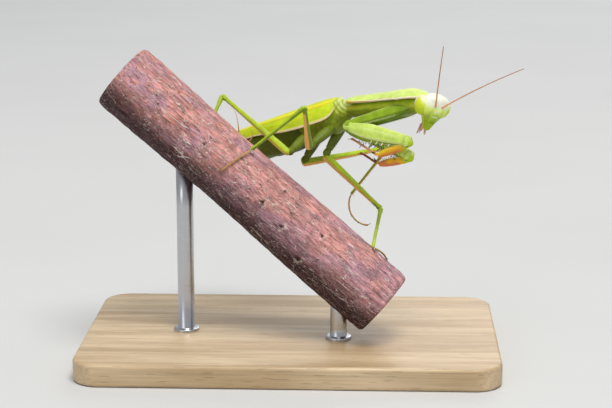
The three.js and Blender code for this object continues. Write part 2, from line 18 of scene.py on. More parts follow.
import bpy
import numpy as np
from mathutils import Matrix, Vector

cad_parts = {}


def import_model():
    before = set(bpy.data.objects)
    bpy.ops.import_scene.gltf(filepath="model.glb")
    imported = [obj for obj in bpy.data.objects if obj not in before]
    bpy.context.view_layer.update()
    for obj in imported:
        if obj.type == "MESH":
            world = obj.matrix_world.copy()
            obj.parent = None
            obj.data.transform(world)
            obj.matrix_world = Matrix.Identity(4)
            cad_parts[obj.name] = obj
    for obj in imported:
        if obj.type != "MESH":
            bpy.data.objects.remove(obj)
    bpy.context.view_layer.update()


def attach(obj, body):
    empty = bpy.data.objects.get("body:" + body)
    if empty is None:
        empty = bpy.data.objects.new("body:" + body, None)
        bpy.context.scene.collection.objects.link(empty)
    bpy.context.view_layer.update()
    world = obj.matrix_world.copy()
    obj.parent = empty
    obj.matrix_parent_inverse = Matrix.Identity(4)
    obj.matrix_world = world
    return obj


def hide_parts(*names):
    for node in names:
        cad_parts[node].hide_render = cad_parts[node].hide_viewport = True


Array = np.ndarray
Colour = tuple[float, float, float]
Point = tuple[float, float, float]
Stations = Sequence[Sequence[float]]
Masks = dict[str, Array]
Socket = bpy.types.NodeSocket
Material = bpy.types.Material

METRES_PER_MM = 0.001
log = logging.getLogger("mantis")


class Side(Enum):
    """The animal's own sides; the value is the sign of +Y in its frames."""

    LEFT = 1
    RIGHT = -1

    @property
    def word(self) -> str:
        """The side's name as node names spell it."""
        return self.name.lower()


class Slot(Enum):
    """Names of the material slots."""

    GREEN = "green_cuticle"
    SHIELD = "pronotum_shield"
    WING = "forewing"
    FACE = "face_cuticle"
    EYE = "eye"
    MOUTH = "mouthparts"
    ANTENNA = "antenna"
    ORANGE = "orange_cuticle"
    FOOT = "foot_cuticle"
    BARK = "bark"
    WOOD = "stand_wood"
    STEEL = "stand_steel"


# ---- Formulas shared by the shapes ------------------------------------------------


def ease(low: float, high: float, value: Array) -> Array:
    """A smooth step: 0 below low, 1 above high, 3s² - 2s³ between them; with low above high it falls."""
    share = np.clip((value - low) / (high - low), 0.0, 1.0)
    return share * share * (3.0 - 2.0 * share)


def between(low: float, full: float, last: float, high: float, value: Array) -> Array:
    """A smooth plateau: 0 below low, 1 from full to last, 0 above high."""
    return ease(low, full, value) * ease(high, last, value)


def straight(x: Array) -> Array:
    """Points on the X axis at the given places."""
    return np.stack([x, 0 * x, 0 * x], -1)


def full_turn(count: int) -> Array:
    """Evenly spaced angles all the way round, without the one that would repeat the first."""
    return np.linspace(0, 2 * np.pi, count, endpoint=False)


def lattice(rows: Array, columns: Array) -> list[Array]:
    """Two values on a grid: the first changes from row to row, the second within each row."""
    return np.meshgrid(rows, columns, indexing="ij")


def crowded(count: int) -> Array:
    """Shares from 0 to 1 that crowd together at both ends: half of 1 less the cosine of half a turn."""
    return 0.5 - 0.5 * np.cos(np.linspace(0, np.pi, count))


def bell(value: Array, centre: float, width: float) -> Array:
    """A bell curve, 1 at the centre and 1/e at the width: exp(-((value - centre) / width)²)."""
    return np.exp(-(((value - centre) / width) ** 2))


def bells(value: Array, rows: Stations) -> Array:
    """Bell curves added up; a row is a centre, a width and a height."""
    return sum(height * bell(value, centre, width) for centre, width, height in rows)


def follow(stations: Stations, t: Array) -> Array:
    """Values on one smooth curve through all stations.

    Formula: a cubic between each two stations, whose slope at a station is the slope from the one
    before it to the one after it.

    Args:
        stations: rows of [t, value, value, …] in rising t.
        t: where to read the curve.

    Returns:
        An array with one row for each value column.
    """
    table = np.asarray(stations, float)
    knots, values = table[:, 0], table[:, 1:]
    place = np.arange(len(knots))
    before, after = np.maximum(place - 1, 0), np.minimum(place + 1, len(knots) - 1)
    slopes = (values[after] - values[before]) / (knots[after] - knots[before])[:, None]
    i = np.clip(np.searchsorted(knots, t) - 1, 0, len(knots) - 2)
    span = knots[i + 1] - knots[i]
    s = np.clip((t - knots[i]) / span, 0.0, 1.0)[..., None]
    span = span[..., None]
    curve = (
        (2 * s**3 - 3 * s**2 + 1) * values[i]
        + (s**3 - 2 * s**2 + s) * span * slopes[i]
        + (3 * s**2 - 2 * s**3) * values[i + 1]
        + (s**3 - s**2) * span * slopes[i + 1]
    )
    return np.moveaxis(curve, -1, 0)


def unit(vectors: Array) -> Array:
    """Each vector divided by its length."""
    return vectors / np.maximum(np.linalg.norm(vectors, axis=-1, keepdims=True), 1e-12)


def arc_bend(points: Array, length: float, degrees: float) -> Array:
    """Bends a body along +X into an arc, hollow side down, and keeps its ends level.

    Formula: x becomes an angle on a circle of radius length / turn, z a reach beyond that circle, and the
    whole is turned back by half of the turn.

    Args:
        points: points of the straight body, in millimetres.
        length: the length that takes the whole turn.
        degrees: the turn.

    Returns:
        The bent points.
    """
    if degrees == 0:
        return points
    turn = math.radians(degrees)
    radius = length / turn
    angle = turn * points[..., 0] / length
    reach = radius + points[..., 2]
    x, z = reach * np.sin(angle), reach * np.cos(angle) - radius
    cos, sin = math.cos(turn / 2), math.sin(turn / 2)
    return np.stack([x * cos - z * sin, points[..., 1], x * sin + z * cos], -1)


@dataclass(frozen=True)
class Aim:
    """A direction in degrees: heading from +X towards +Y, climb above level, roll about the direction."""

    heading: float = 0.0
    climb: float = 0.0
    roll: float = 0.0

    def turn(self) -> Array:
        """The turn matrix: roll about X, then climb about Y, then heading about Z.

        Returns:
            A 3 by 3 matrix.
        """
        h, c, r = (math.radians(a) for a in (self.heading, -self.climb, self.roll))
        about_z = np.array([[math.cos(h), -math.sin(h), 0], [math.sin(h), math.cos(h), 0], [0, 0, 1]])
        about_y = np.array([[math.cos(c), 0, math.sin(c)], [0, 1, 0], [-math.sin(c), 0, math.cos(c)]])
        about_x = np.array([[1, 0, 0], [0, math.cos(r), -math.sin(r)], [0, math.sin(r), math.cos(r)]])
        return about_z @ about_y @ about_x


@dataclass(frozen=True)
class Place:
    """A local frame in the model: where its origin is and how it is turned."""

    origin: Point = (0.0, 0.0, 0.0)
    aim: Aim = Aim()

    def carry(self, points: Array) -> Array:
        """Local points as model points: turned, then moved."""
        return np.asarray(points, float) @ self.aim.turn().T + np.asarray(self.origin)

    def point(self, x: float, y: float = 0.0, z: float = 0.0) -> Point:
        """One local point as a model point."""
        return tuple(float(v) for v in self.carry(np.array([x, y, z])))


# ---- Surfaces ---------------------------------------------------------------------


@dataclass
class Shell:
    """A closed surface: its points, its four- and three-sided faces, and masks and a UV at each point."""

    points: Array
    quads: Array
    triangles: Array
    masks: Masks = field(default_factory=dict)
    uv: Array | None = None

    def placed(self, place: Place) -> Shell:
        """The same surface carried into a local frame's place."""
        return replace(self, points=place.carry(self.points))

    def bent(self, length: float, degrees: float) -> Shell:
        """The same surface bent into an arc along +X."""
        return replace(self, points=arc_bend(self.points, length, degrees))

    def marked(self, **masks: float) -> Shell:
        """The same surface with masks set to one value all over."""
        extra = {name: np.full(len(self.points), value) for name, value in masks.items()}
        return replace(self, masks={**self.masks, **extra})

    def outward(self) -> Shell:
        """The same surface with its faces turned outwards, judged by the sign of the volume it encloses.

        Returns:
            The surface itself, or a copy with every face reversed.
        """
        triangles = np.vstack([self.triangles, self.quads[:, [0, 1, 2]], self.quads[:, [0, 2, 3]]])
        a, b, c = (self.points[triangles[:, k]] - self.points.mean(0) for k in range(3))
        if np.einsum("ij,ij->i", a, np.cross(b, c)).sum() >= 0:
            return self
        return replace(self, quads=self.quads[:, ::-1], triangles=self.triangles[:, ::-1])


def joined(shells: Sequence[Shell]) -> Shell:
    """Several surfaces as one; a mask that one of them lacks is 0 there.

    Args:
        shells: the surfaces, each closed.

    Returns:
        One surface with all their points and faces.
    """
    shells = [shell.outward() for shell in shells]
    starts = np.cumsum([0] + [len(shell.points) for shell in shells[:-1]])
    names = sorted({name for shell in shells for name in shell.masks})
    return Shell(
        np.vstack([shell.points for shell in shells]),
        np.vstack([shell.quads + start for shell, start in zip(shells, starts)]),
        np.vstack([shell.triangles + start for shell, start in zip(shells, starts)]),
        {
            name: np.concatenate([s.masks.get(name, np.zeros(len(s.points))) for s in shells])
            for name in names
        },
        np.vstack([s.uv if s.uv is not None else np.zeros((len(s.points), 2)) for s in shells]),
    )


def skin(rings: Array, masks: Masks | None = None) -> Shell:
    """A closed skin over rings of points, of which the first and the last have shrunk to a point.

    Args:
        rings: points in a grid (ring, place on the ring, 3); the rings follow one another along the body.
        masks: values in the same grid.

    Returns:
        The surface, with a pole at each end.
    """
    count, around = rings.shape[:2]
    j = np.arange(around)
    k = (j + 1) % around
    row = np.arange(count - 3)[:, None] * around
    quads = np.stack([row + j, row + k, row + around + k, row + around + j], -1).reshape(-1, 4)
    tail = (count - 3) * around
    first = (count - 2) * around
    fans = [
        np.stack([np.full(around, first), k, j], -1),
        np.stack([np.full(around, first + 1), tail + j, tail + k], -1),
    ]
    flat = {
        name: np.concatenate([grid[1:-1].ravel(), grid[[0, -1], 0]]) for name, grid in (masks or {}).items()
    }
    points = np.vstack([rings[1:-1].reshape(-1, 3), rings[[0, -1], 0]])
    return Shell(points, quads, np.vstack(fans), flat)


def plate(outer: Array, thickness: Array, masks: Masks | None = None) -> Shell:
    """A closed thin plate: an outer face, an inner face one thickness below it, and a rim between them.

    Formula: inner = outer - thickness times the unit normal of the outer grid.

    Args:
        outer: points in a grid (along, across, 3).
        thickness: the thickness at each grid point, in millimetres.
        masks: values in the same grid, used on both faces.

    Returns:
        The surface; its UV is (along, across), each from 0 to 1.
    """
    along, across = outer.shape[:2]
    normal = unit(np.cross(np.gradient(outer, axis=0), np.gradient(outer, axis=1)))
    inner = outer - normal * thickness[..., None]
    index = np.arange(along * across).reshape(along, across)
    a, b, c, d = index[:-1, :-1], index[:-1, 1:], index[1:, 1:], index[1:, :-1]
    top = np.stack([a, b, c, d], -1).reshape(-1, 4)
    bottom = top[:, ::-1] + along * across
    loop = np.concatenate([index[0], index[1:, -1], index[-1, -2::-1], index[-2:0:-1, 0]])
    ahead = np.roll(loop, -1)
    rim = np.stack([ahead, loop, loop + along * across, ahead + along * across], -1)
    u, v = lattice(np.linspace(0, 1, along), np.linspace(0, 1, across))
    uv = np.stack([u.ravel(), v.ravel()], -1)
    return Shell(
        np.vstack([outer.reshape(-1, 3), inner.reshape(-1, 3)]),
        np.vstack([top, bottom, rim]),
        np.zeros((0, 3), int),
        {name: np.tile(grid.ravel(), 2) for name, grid in (masks or {}).items()},
        np.vstack([uv, uv]),
    )


def pipe(path: Array, radius: Array, around: int, aside: Point = (0.0, 0.0, 1.0),
         **masks: Array) -> Shell:
    """A round-ended tube along a path.

    Formula: each ring lies square to the path; the radius shrinks to nothing at both ends.

    Args:
        path: points along the middle, in order.
        radius: the radius at each of them, in millimetres.
        around: points on each ring.
        aside: a direction that the path never follows.
        masks: values at each point of the path.

    Returns:
        The surface, with these masks and "along", which runs from 0 to 1.
    """
    ahead = unit(np.gradient(path, axis=0))
    sideways = unit(np.cross(np.asarray(aside), ahead))
    upward = np.cross(ahead, sideways)
    angle = full_turn(around)
    radius = np.array(radius, float)
    radius[[0, -1]] = 0
    spokes = np.cos(angle)[None, :, None] * sideways[:, None] + np.sin(angle)[None, :, None] * upward[:, None]
    values = {"along": np.linspace(0, 1, len(path)), **masks}
    grids = {name: np.repeat(row[:, None], around, 1) for name, row in values.items()}
    return skin(path[:, None] + spokes * radius[:, None, None], grids)


def spine(root: Point, aim: Point, length: float, radius: float, hook: float = 0.0,
          dark: float = 0.55) -> Shell:
    """A slender pointed spine with a dark tip.

    Formula: the middle runs along the aim and sinks by hook times the squared share of the length; the
    radius falls with the root of the share that is left.

    Args:
        root: where it starts, inside the body that it stands on.
        aim: the direction that it grows in.
        length: its length in millimetres.
        radius: its radius at the root.
        hook: how far its tip leans back towards -X, as a share of the length.
        dark: the share of the length at which the dark tip starts.

    Returns:
        The surface; its mask "tip" is 1 on the dark tip, "spine" is 1 all over it.
    """
    s = np.linspace(0, 1, 9)
    direction = unit(np.asarray(aim, float))
    path = np.asarray(root) + length * s[:, None] * direction
    path[:, 0] -= hook * length * s**2
    side = (0.0, 1.0, 0.0) if abs(direction[2]) > 0.7 else (0.0, 0.0, 1.0)
    thickness = radius * np.sqrt(np.clip(1.02 - s, 0, 1))
    return pipe(path, thickness, 7, side, tip=ease(dark - 0.12, dark + 0.12, s)).marked(spine=1.0)


@dataclass(frozen=True)
class Outline:
    """A round-ended body along +X.

    A station is [share of the length, half width, height above the axis, depth below it]. Squareness 1 is
    an ellipse; less is boxier. Caps are the lengths of the two round ends, and reach is how far they run on
    past the ends of the length.
    """

    length: float
    stations: Stations
    caps: tuple[float, float]
    rings: int = 60
    around: int = 36
    squareness: float = 1.0
    reach: tuple[float, float] = (0.0, 0.0)

    def profile(self) -> tuple[Array, Array]:
        """The places of the rings.

        Returns:
            Where each ring stands along X, and how far it is opened: the sine of a quarter turn on a cap.
        """
        turn = np.linspace(0, np.pi / 2, 9)
        start, end = -self.reach[0], self.length + self.reach[1]
        middle = np.linspace(start + self.caps[0], end - self.caps[1], self.rings)[1:-1]
        x = np.concatenate([
            start + self.caps[0] * (1 - np.cos(turn)), middle,
            end - self.caps[1] * (1 - np.cos(turn[::-1])),
        ])
        return x, np.concatenate([np.sin(turn), np.ones(len(middle)), np.sin(turn[::-1])])

    def grid(self) -> tuple[Array, Array, Array, Array]:
        """At each point: the share of the length, the angle from +Y towards +Z, its sine and its cosine."""
        t, angle = lattice(np.clip(self.profile()[0] / self.length, 0, 1), full_turn(self.around))
        return t, angle, np.sin(angle), np.cos(angle)

    def shell(self, relief: Array | float = 0.0, **masks: Array) -> Shell:
        """The body's skin.

        Formula: the ring at x has the half width, height and depth of the stations there, times its opening;
        relief adds to the radius.

        Args:
            relief: millimetres at each point of the grid.
            masks: values at each point of the grid.

        Returns:
            The surface, with these masks and "along", "up" (1 on top, -1 below) and "left" (1 at +Y).
        """
        x, opened = (row[:, None] for row in self.profile())
        t, _, sin, cos = self.grid()
        width, above, below = (row[:, None] for row in follow(self.stations, t[:, 0]))
        y = (width + relief) * np.sign(cos) * np.abs(cos) ** self.squareness * opened
        z = (np.where(sin >= 0, above, below) + relief) * np.sign(sin) * np.abs(sin) ** self.squareness
        centre = (above - below) / 2
        z = centre + (z - centre) * opened
        rings = np.stack([np.broadcast_to(x, y.shape), y, z], -1)
        return skin(rings, {"along": t, "up": sin, "left": cos, **masks})


# ---- Finishes ---------------------------------------------------------------------


class Graph:
    """A material's nodes, made by short calls. Lengths are in millimetres, in the frame's own axes."""

    def __init__(self, name: str, **constants: float | Colour) -> None:
        """Starts a material around one principled shader.

        Args:
            name: the material's name.
            constants: values for the shader's own sockets, with _ for a space.
        """
        self.material = bpy.data.materials.new(name)
        self.material.use_nodes = True
        self.nodes = self.material.node_tree.nodes
        self.links = self.material.node_tree.links
        self.shader = self.nodes["Principled BSDF"]
        for key, value in constants.items():
            socket = self.shader.inputs[key.replace("_", " ").title().replace("Ior", "IOR")]
            is_colour = isinstance(value, tuple) and socket.type == "RGBA"
            socket.default_value = (*value, 1.0) if is_colour else value

    def add(self, kind: str, inputs: dict | None = None, **options: object) -> bpy.types.Node:
        """Adds a node.

        Args:
            kind: the node's type without "ShaderNode".
            inputs: a value or another node's socket for each input, by name or number.
            options: the node's own settings.

        Returns:
            The new node.
        """
        node = self.nodes.new("ShaderNode" + kind)
        for key, value in options.items():
            setattr(node, key, value)
        for key, value in (inputs or {}).items():
            if isinstance(value, Socket):
                self.links.new(value, node.inputs[key])
            else:
                node.inputs[key].default_value = value
        return node

    def place(self, stretch: Point = (1.0, 1.0, 1.0), aim: Aim | None = None) -> Socket:
        """Object coordinates, turned so that X follows the aim and then stretched.

        Args:
            stretch: how much longer the pattern is along each turned axis.
            aim: the direction of the pattern's X.

        Returns:
            The coordinates, for a texture's Vector.
        """
        spot = self.add("TexCoord").outputs["Object"]
        if aim is not None:
            level = self.add("Mapping", {"Vector": spot, "Rotation": (0.0, 0.0, -math.radians(aim.heading))})
            tilt = {"Vector": level.outputs[0], "Rotation": (0.0, math.radians(aim.climb), 0.0)}
            spot = self.add("Mapping", tilt).outputs[0]
        scale = tuple(1 / s for s in stretch)
        return self.add("Mapping", {"Vector": spot, "Scale": scale}).outputs[0]

    def noise(self, size: float, detail: float = 3.0, rough: float = 0.55, at: Socket | None = None,
              warp: float = 0.0) -> Socket:
        """Cloudy noise from 0 to 1.

        Args:
            size: the size of its blotches in millimetres.
            detail: how many finer layers it has.
            rough: how strong they are.
            at: coordinates; the object's own if none are given.
            warp: how far it is twisted.

        Returns:
            The noise value.
        """
        inputs = {
            "Vector": at or self.place(), "Scale": 1 / (size * METRES_PER_MM), "Detail": detail,
            "Roughness": rough, "Distortion": warp,
        }
        return self.add("TexNoise", inputs).outputs[0]

    def cells(self, size: float, to_edge: bool = False, at: Socket | None = None,
              loose: float = 1.0) -> Socket:
        """Distances in a pattern of cells, in cells.

        Args:
            size: the size of a cell in millimetres.
            to_edge: whether it is the distance to the cell's edge, and not to its middle.
            at: coordinates; the object's own if none are given.
            loose: 1 for scattered cells, 0 for a regular net.

        Returns:
            The distance.
        """
        inputs = {"Vector": at or self.place(), "Scale": 1 / (size * METRES_PER_MM), "Randomness": loose}
        feature = "DISTANCE_TO_EDGE" if to_edge else "F1"
        return self.add("TexVoronoi", inputs, feature=feature).outputs["Distance"]

    def wavy_lines(self, size: float, at: Socket, width: float, share: float) -> Socket:
        """Thin broken lines that wander like the contours of a hilly map.

        Args:
            size: the distance between lines in millimetres.
            at: coordinates, stretched the way that the lines run.
            width: the lines' half width, in steps of the hills' height.
            share: more than 0.5 for more gaps in the lines, less for fewer.

        Returns:
            1 on a line, 0 beside it.
        """
        line = self.near(self.noise(size, 1, 0.35, at=at), 0.5, width, width * 0.4)
        kept = self.step(self.noise(size * 1.3, 2), share - 0.03, share + 0.05)
        return self.times(line, kept)

    def mask(self, name: str) -> Socket:
        """A value painted on the mesh by name."""
        return self.add("Attribute", attribute_name=name).outputs["Fac"]

    def calc(self, operation: str, a: float | Socket, b: float | Socket = 0.0) -> Socket:
        """One step of arithmetic on two values."""
        return self.add("Math", {0: a, 1: b}, operation=operation).outputs[0]

    def times(self, a: float | Socket, b: float | Socket) -> Socket:
        """Two values multiplied."""
        return self.calc("MULTIPLY", a, b)

    def plus(self, a: float | Socket, b: float | Socket) -> Socket:
        """Two values added."""
        return self.calc("ADD", a, b)

    def minus(self, a: float | Socket, b: float | Socket) -> Socket:
        """The second value taken from the first."""
        return self.calc("SUBTRACT", a, b)

    def most(self, a: float | Socket, b: float | Socket) -> Socket:
        """The greater of two values."""
        return self.calc("MAXIMUM", a, b)

    def near(self, value: Socket, centre: float, fades: float, full: float) -> Socket:
        """1 where a value is within full of the centre, 0 where it is further off than fades."""
        return self.step(self.calc("ABSOLUTE", self.minus(value, centre)), fades, full)

    def worn(self, value: Socket, low: float, high: float) -> Socket:
        """A roughness that wanders between two values with a noise."""
        return self.step(value, 0.2, 0.8, low, high)

    def step(self, value: Socket, low: float, high: float, to_low: float = 0.0,
             to_high: float = 1.0) -> Socket:
        """A smooth step of a value.

        Args:
            value: the value.
            low: where the step starts.
            high: where the step ends.
            to_low: the result at its start.
            to_high: the result at its end.

        Returns:
            The stepped value.
        """
        if low > high:
            low, high, to_low, to_high = high, low, to_high, to_low
        inputs = {"Value": value, "From Min": low, "From Max": high, "To Min": to_low, "To Max": to_high}
        return self.add("MapRange", inputs, interpolation_type="SMOOTHSTEP").outputs[0]

    def mix(self, share: float | Socket, a: Colour | Socket, b: Colour | Socket, how: str = "MIX") -> Socket:
        """Two colours mixed.

        Args:
            share: 0 for all of the first, 1 for all of the second.
            a: the first colour.
            b: the second colour.
            how: Blender's name for the way of mixing.

        Returns:
            The mixed colour.
        """
        a, b = ((*c, 1.0) if isinstance(c, tuple) else c for c in (a, b))
        node = self.add("Mix", {0: share, 6: a, 7: b}, data_type="RGBA", blend_type=how)
        return node.outputs[2]

    def shaded(self, colour: Colour | Socket, value: Socket, low: float, high: float) -> Socket:
        """A colour made darker or lighter by a value.

        Args:
            colour: the colour.
            value: 0.25 or less where it is darkest, 0.75 or more where it is lightest.
            low: the factor where it is darkest.
            high: the factor where it is lightest.

        Returns:
            The shaded colour.
        """
        factor = self.step(value, 0.25, 0.75, low, high)
        tone = self.add("CombineColor", {0: factor, 1: factor, 2: factor}).outputs[0]
        return self.mix(1.0, colour, tone, "MULTIPLY")

    def bump(self, height: Socket, depth: float, before: Socket | None = None) -> Socket:
        """A bumpy normal.

        Args:
            height: a value whose change from 0 to 1 is one depth.
            depth: millimetres.
            before: a normal to add to.

        Returns:
            The new normal.
        """
        inputs = {"Height": height, "Distance": depth * METRES_PER_MM, "Strength": 1.0}
        if before is not None:
            inputs["Normal"] = before
        return self.add("Bump", inputs).outputs[0]

    def finish(self, colour: Socket, roughness: Socket, normal: Socket) -> Material:
        """Joins the shader's colour, roughness and normal, and returns the material."""
        for name, socket in (("Base Color", colour), ("Roughness", roughness), ("Normal", normal)):
            self.links.new(socket, self.shader.inputs[name])
        return self.material


@dataclass(frozen=True)
class Cuticle:
    """Insect skin: one tone above and one below, and ridges, a blush and dark points where masks say. Where
    the lower tone is darker it is partly painted shade on the undersides.
    """

    name: str
    upper: Colour
    lower: Colour
    ridge: Colour = (0.82, 0.86, 0.38)
    blush: Colour = (0.66, 0.27, 0.09)
    spine: Colour = (0.85, 0.86, 0.6)
    point: Colour = (0.02, 0.01, 0.007)
    gloss: float = 0.42
    grain: float = 0.12
    glow: float = 0.1

    def material(self) -> Material:
        """Builds the nodes: two blotchy tones (a darker lower tone is partly painted shade underneath), fine
        pores, and the masks ridge, blush, spine, line and tip.

        Returns:
            The material.
        """
        g = Graph(self.name, subsurface_weight=self.glow, subsurface_scale=0.0006,
                  subsurface_radius=(0.7, 1.0, 0.15), specular_ior_level=0.34, ior=1.45)
        blotch = g.noise(1.7, 4)
        fleck = g.noise(0.35, 3)
        # painted light: the mask up blends from the lower tone underneath to the upper tone on top; a darker
        # lower tone is partly painted shade
        height = g.plus(g.mask("up"), g.times(blotch, 0.5))
        colour = g.mix(g.step(height, -0.45, 0.75), self.lower, self.upper)
        colour = g.shaded(colour, blotch, 0.86, 1.12)
        colour = g.shaded(colour, fleck, 0.93, 1.07)
        pore = g.step(g.cells(self.grain * 1.8), 0.1, 0.32)
        colour = g.shaded(colour, pore, 0.965, 1.0)
        colour = g.mix(g.mask("ridge"), colour, self.ridge)
        ragged = g.plus(g.mask("blush"), g.times(g.minus(fleck, 0.5), 0.5))
        colour = g.mix(g.step(ragged, 0.15, 0.75, 0.0, 0.95), colour, self.blush)
        colour = g.mix(g.mask("spine"), colour, self.spine)
        colour = g.mix(g.times(g.mask("line"), 0.55), colour, tuple(c * 0.35 for c in self.lower))
        colour = g.mix(g.mask("tip"), colour, self.point)
        rough = g.worn(fleck, self.gloss - 0.07, self.gloss + 0.1)
        normal = g.bump(g.noise(self.grain, 3), self.grain * 0.09)
        normal = g.bump(pore, self.grain * 0.06, normal)
        return g.finish(colour, rough, normal)


@dataclass(frozen=True)
class WingFinish:
    """A folded forewing: a yellow-green inner field yellowed on top by painted highlight, a yellow band of
    painted highlight, an orange vein, a green outer field and a cream margin.
    """

    name: str = "forewing_skin"
    inner: Colour = (0.62, 0.73, 0.03)
    band: Colour = (0.84, 0.74, 0.008)
    vein: Colour = (0.78, 0.47, 0.02)
    outer: Colour = (0.52, 0.65, 0.01)
    margin: Colour = (0.8, 0.66, 0.4)
    edge_at: float = 0.53

    def material(self) -> Material:
        """Builds the nodes from the UV map and the mask "across": 0 at the midline, 1 at the front margin.

        Returns:
            The material.
        """
        g = Graph(self.name, subsurface_weight=0.1, subsurface_scale=0.0005,
                  subsurface_radius=(0.8, 1.0, 0.2), specular_ior_level=0.32)
        net = g.add("Mapping", {"Vector": g.add("UVMap").outputs[0], "Scale": (0.035, 0.009, 1.0)}).outputs[0]
        mesh_edge = g.step(g.cells(0.34, True, net), 0.1, 0.02)
        long_net = g.add("Mapping", {"Vector": net, "Scale": (0.13, 1.0, 1.0)}).outputs[0]
        long_vein = g.step(g.cells(0.8, True, long_net, 0.8), 0.12, 0.03)
        across = g.plus(g.mask("across"), g.times(g.noise(2.5, 2), 0.03))
        # the inner field's green is the wing's own; its yellowing is painted highlight on the wing's top
        colour = g.mix(g.step(across, self.edge_at - 0.05, self.edge_at + 0.08), self.inner, self.outer)
        colour = g.shaded(colour, g.noise(3.0, 4), 0.86, 1.12)
        colour = g.shaded(colour, mesh_edge, 1.0, 1.03)
        colour = g.shaded(colour, long_vein, 1.0, 1.09)
        # painted highlight: a yellow band along the shoulder of the wing, where the light from above glances
        # off
        band = g.near(across, self.edge_at - 0.07, 0.13, 0.05)
        colour = g.mix(g.times(band, 0.7), colour, self.band)
        stripe = g.near(across, self.edge_at + 0.03, 0.035, 0.012)
        colour = g.mix(g.times(stripe, 0.7), colour, self.vein)
        colour = g.mix(g.mask("margin"), colour, self.margin)
        colour = g.mix(g.step(g.mask("across"), -0.105, -0.125, 0.0, 0.7), colour, self.vein)
        rough = g.worn(g.noise(0.5, 2), 0.38, 0.52)
        field = g.minus(1.0, g.mask("margin"))
        normal = g.bump(g.times(mesh_edge, field), 0.006)
        normal = g.bump(g.times(long_vein, field), 0.022, normal)
        normal = g.bump(g.noise(0.09, 2), 0.008, normal)
        return g.finish(colour, rough, normal)


@dataclass(frozen=True)
class EyeFinish:
    """A compound eye: clear yellow-green with tiny facets and a pinkish rim, and painted light: bright above,
    deeper below, with a pale sheen beside the face.
    """

    name: str = "eye_skin"
    bright: Colour = (0.7, 0.78, 0.01)
    deep: Colour = (0.5, 0.64, 0.004)
    pale: Colour = (0.9, 0.93, 0.7)
    rim: Colour = (0.95, 0.74, 0.66)

    def material(self) -> Material:
        """Builds the nodes: bright above and deeper below as painted light from above, a painted pale sheen
        beside the face, and a rim behind.

        Returns:
            The material.
        """
        g = Graph(self.name, coat_weight=0.15, coat_roughness=0.22, subsurface_weight=0.15,
                  subsurface_scale=0.0008, subsurface_radius=(0.9, 1.0, 0.1), ior=1.45)
        facet = g.cells(0.055, True, loose=0.35)
        height = g.plus(g.mask("up"), g.times(g.noise(0.9, 3), 0.5))
        # painted light: bright on top, deeper underneath
        colour = g.mix(g.step(height, -0.5, 0.8), self.deep, self.bright)
        colour = g.shaded(colour, g.step(facet, 0.0, 0.2), 0.93, 1.02)
        # painted sheen: the pale mask whitens the side towards the face
        colour = g.mix(g.mask("pale"), colour, self.pale)
        colour = g.mix(g.mask("rim"), colour, self.rim)
        rough = g.worn(g.noise(0.3, 2), 0.2, 0.3)
        return g.finish(colour, rough, g.bump(g.step(facet, 0.0, 0.25), 0.004))


@dataclass(frozen=True)
class RingedFinish:
    """A jointed thread: an antenna, ringed by its many short segments."""

    name: str = "antenna_skin"
    root: Colour = (0.72, 0.36, 0.17)
    tip: Colour = (0.42, 0.16, 0.06)

    def material(self) -> Material:
        """Builds the nodes from the masks along and ring, which is 1 on the joints.

        Returns:
            The material.
        """
        g = Graph(self.name, specular_ior_level=0.35)
        colour = g.mix(g.mask("along"), self.root, self.tip)
        colour = g.shaded(colour, g.minus(1.0, g.mask("ring")), 0.86, 1.03)
        rough = g.worn(g.noise(0.2, 2), 0.45, 0.65)
        return g.finish(colour, rough, g.bump(g.noise(0.06, 2), 0.006))


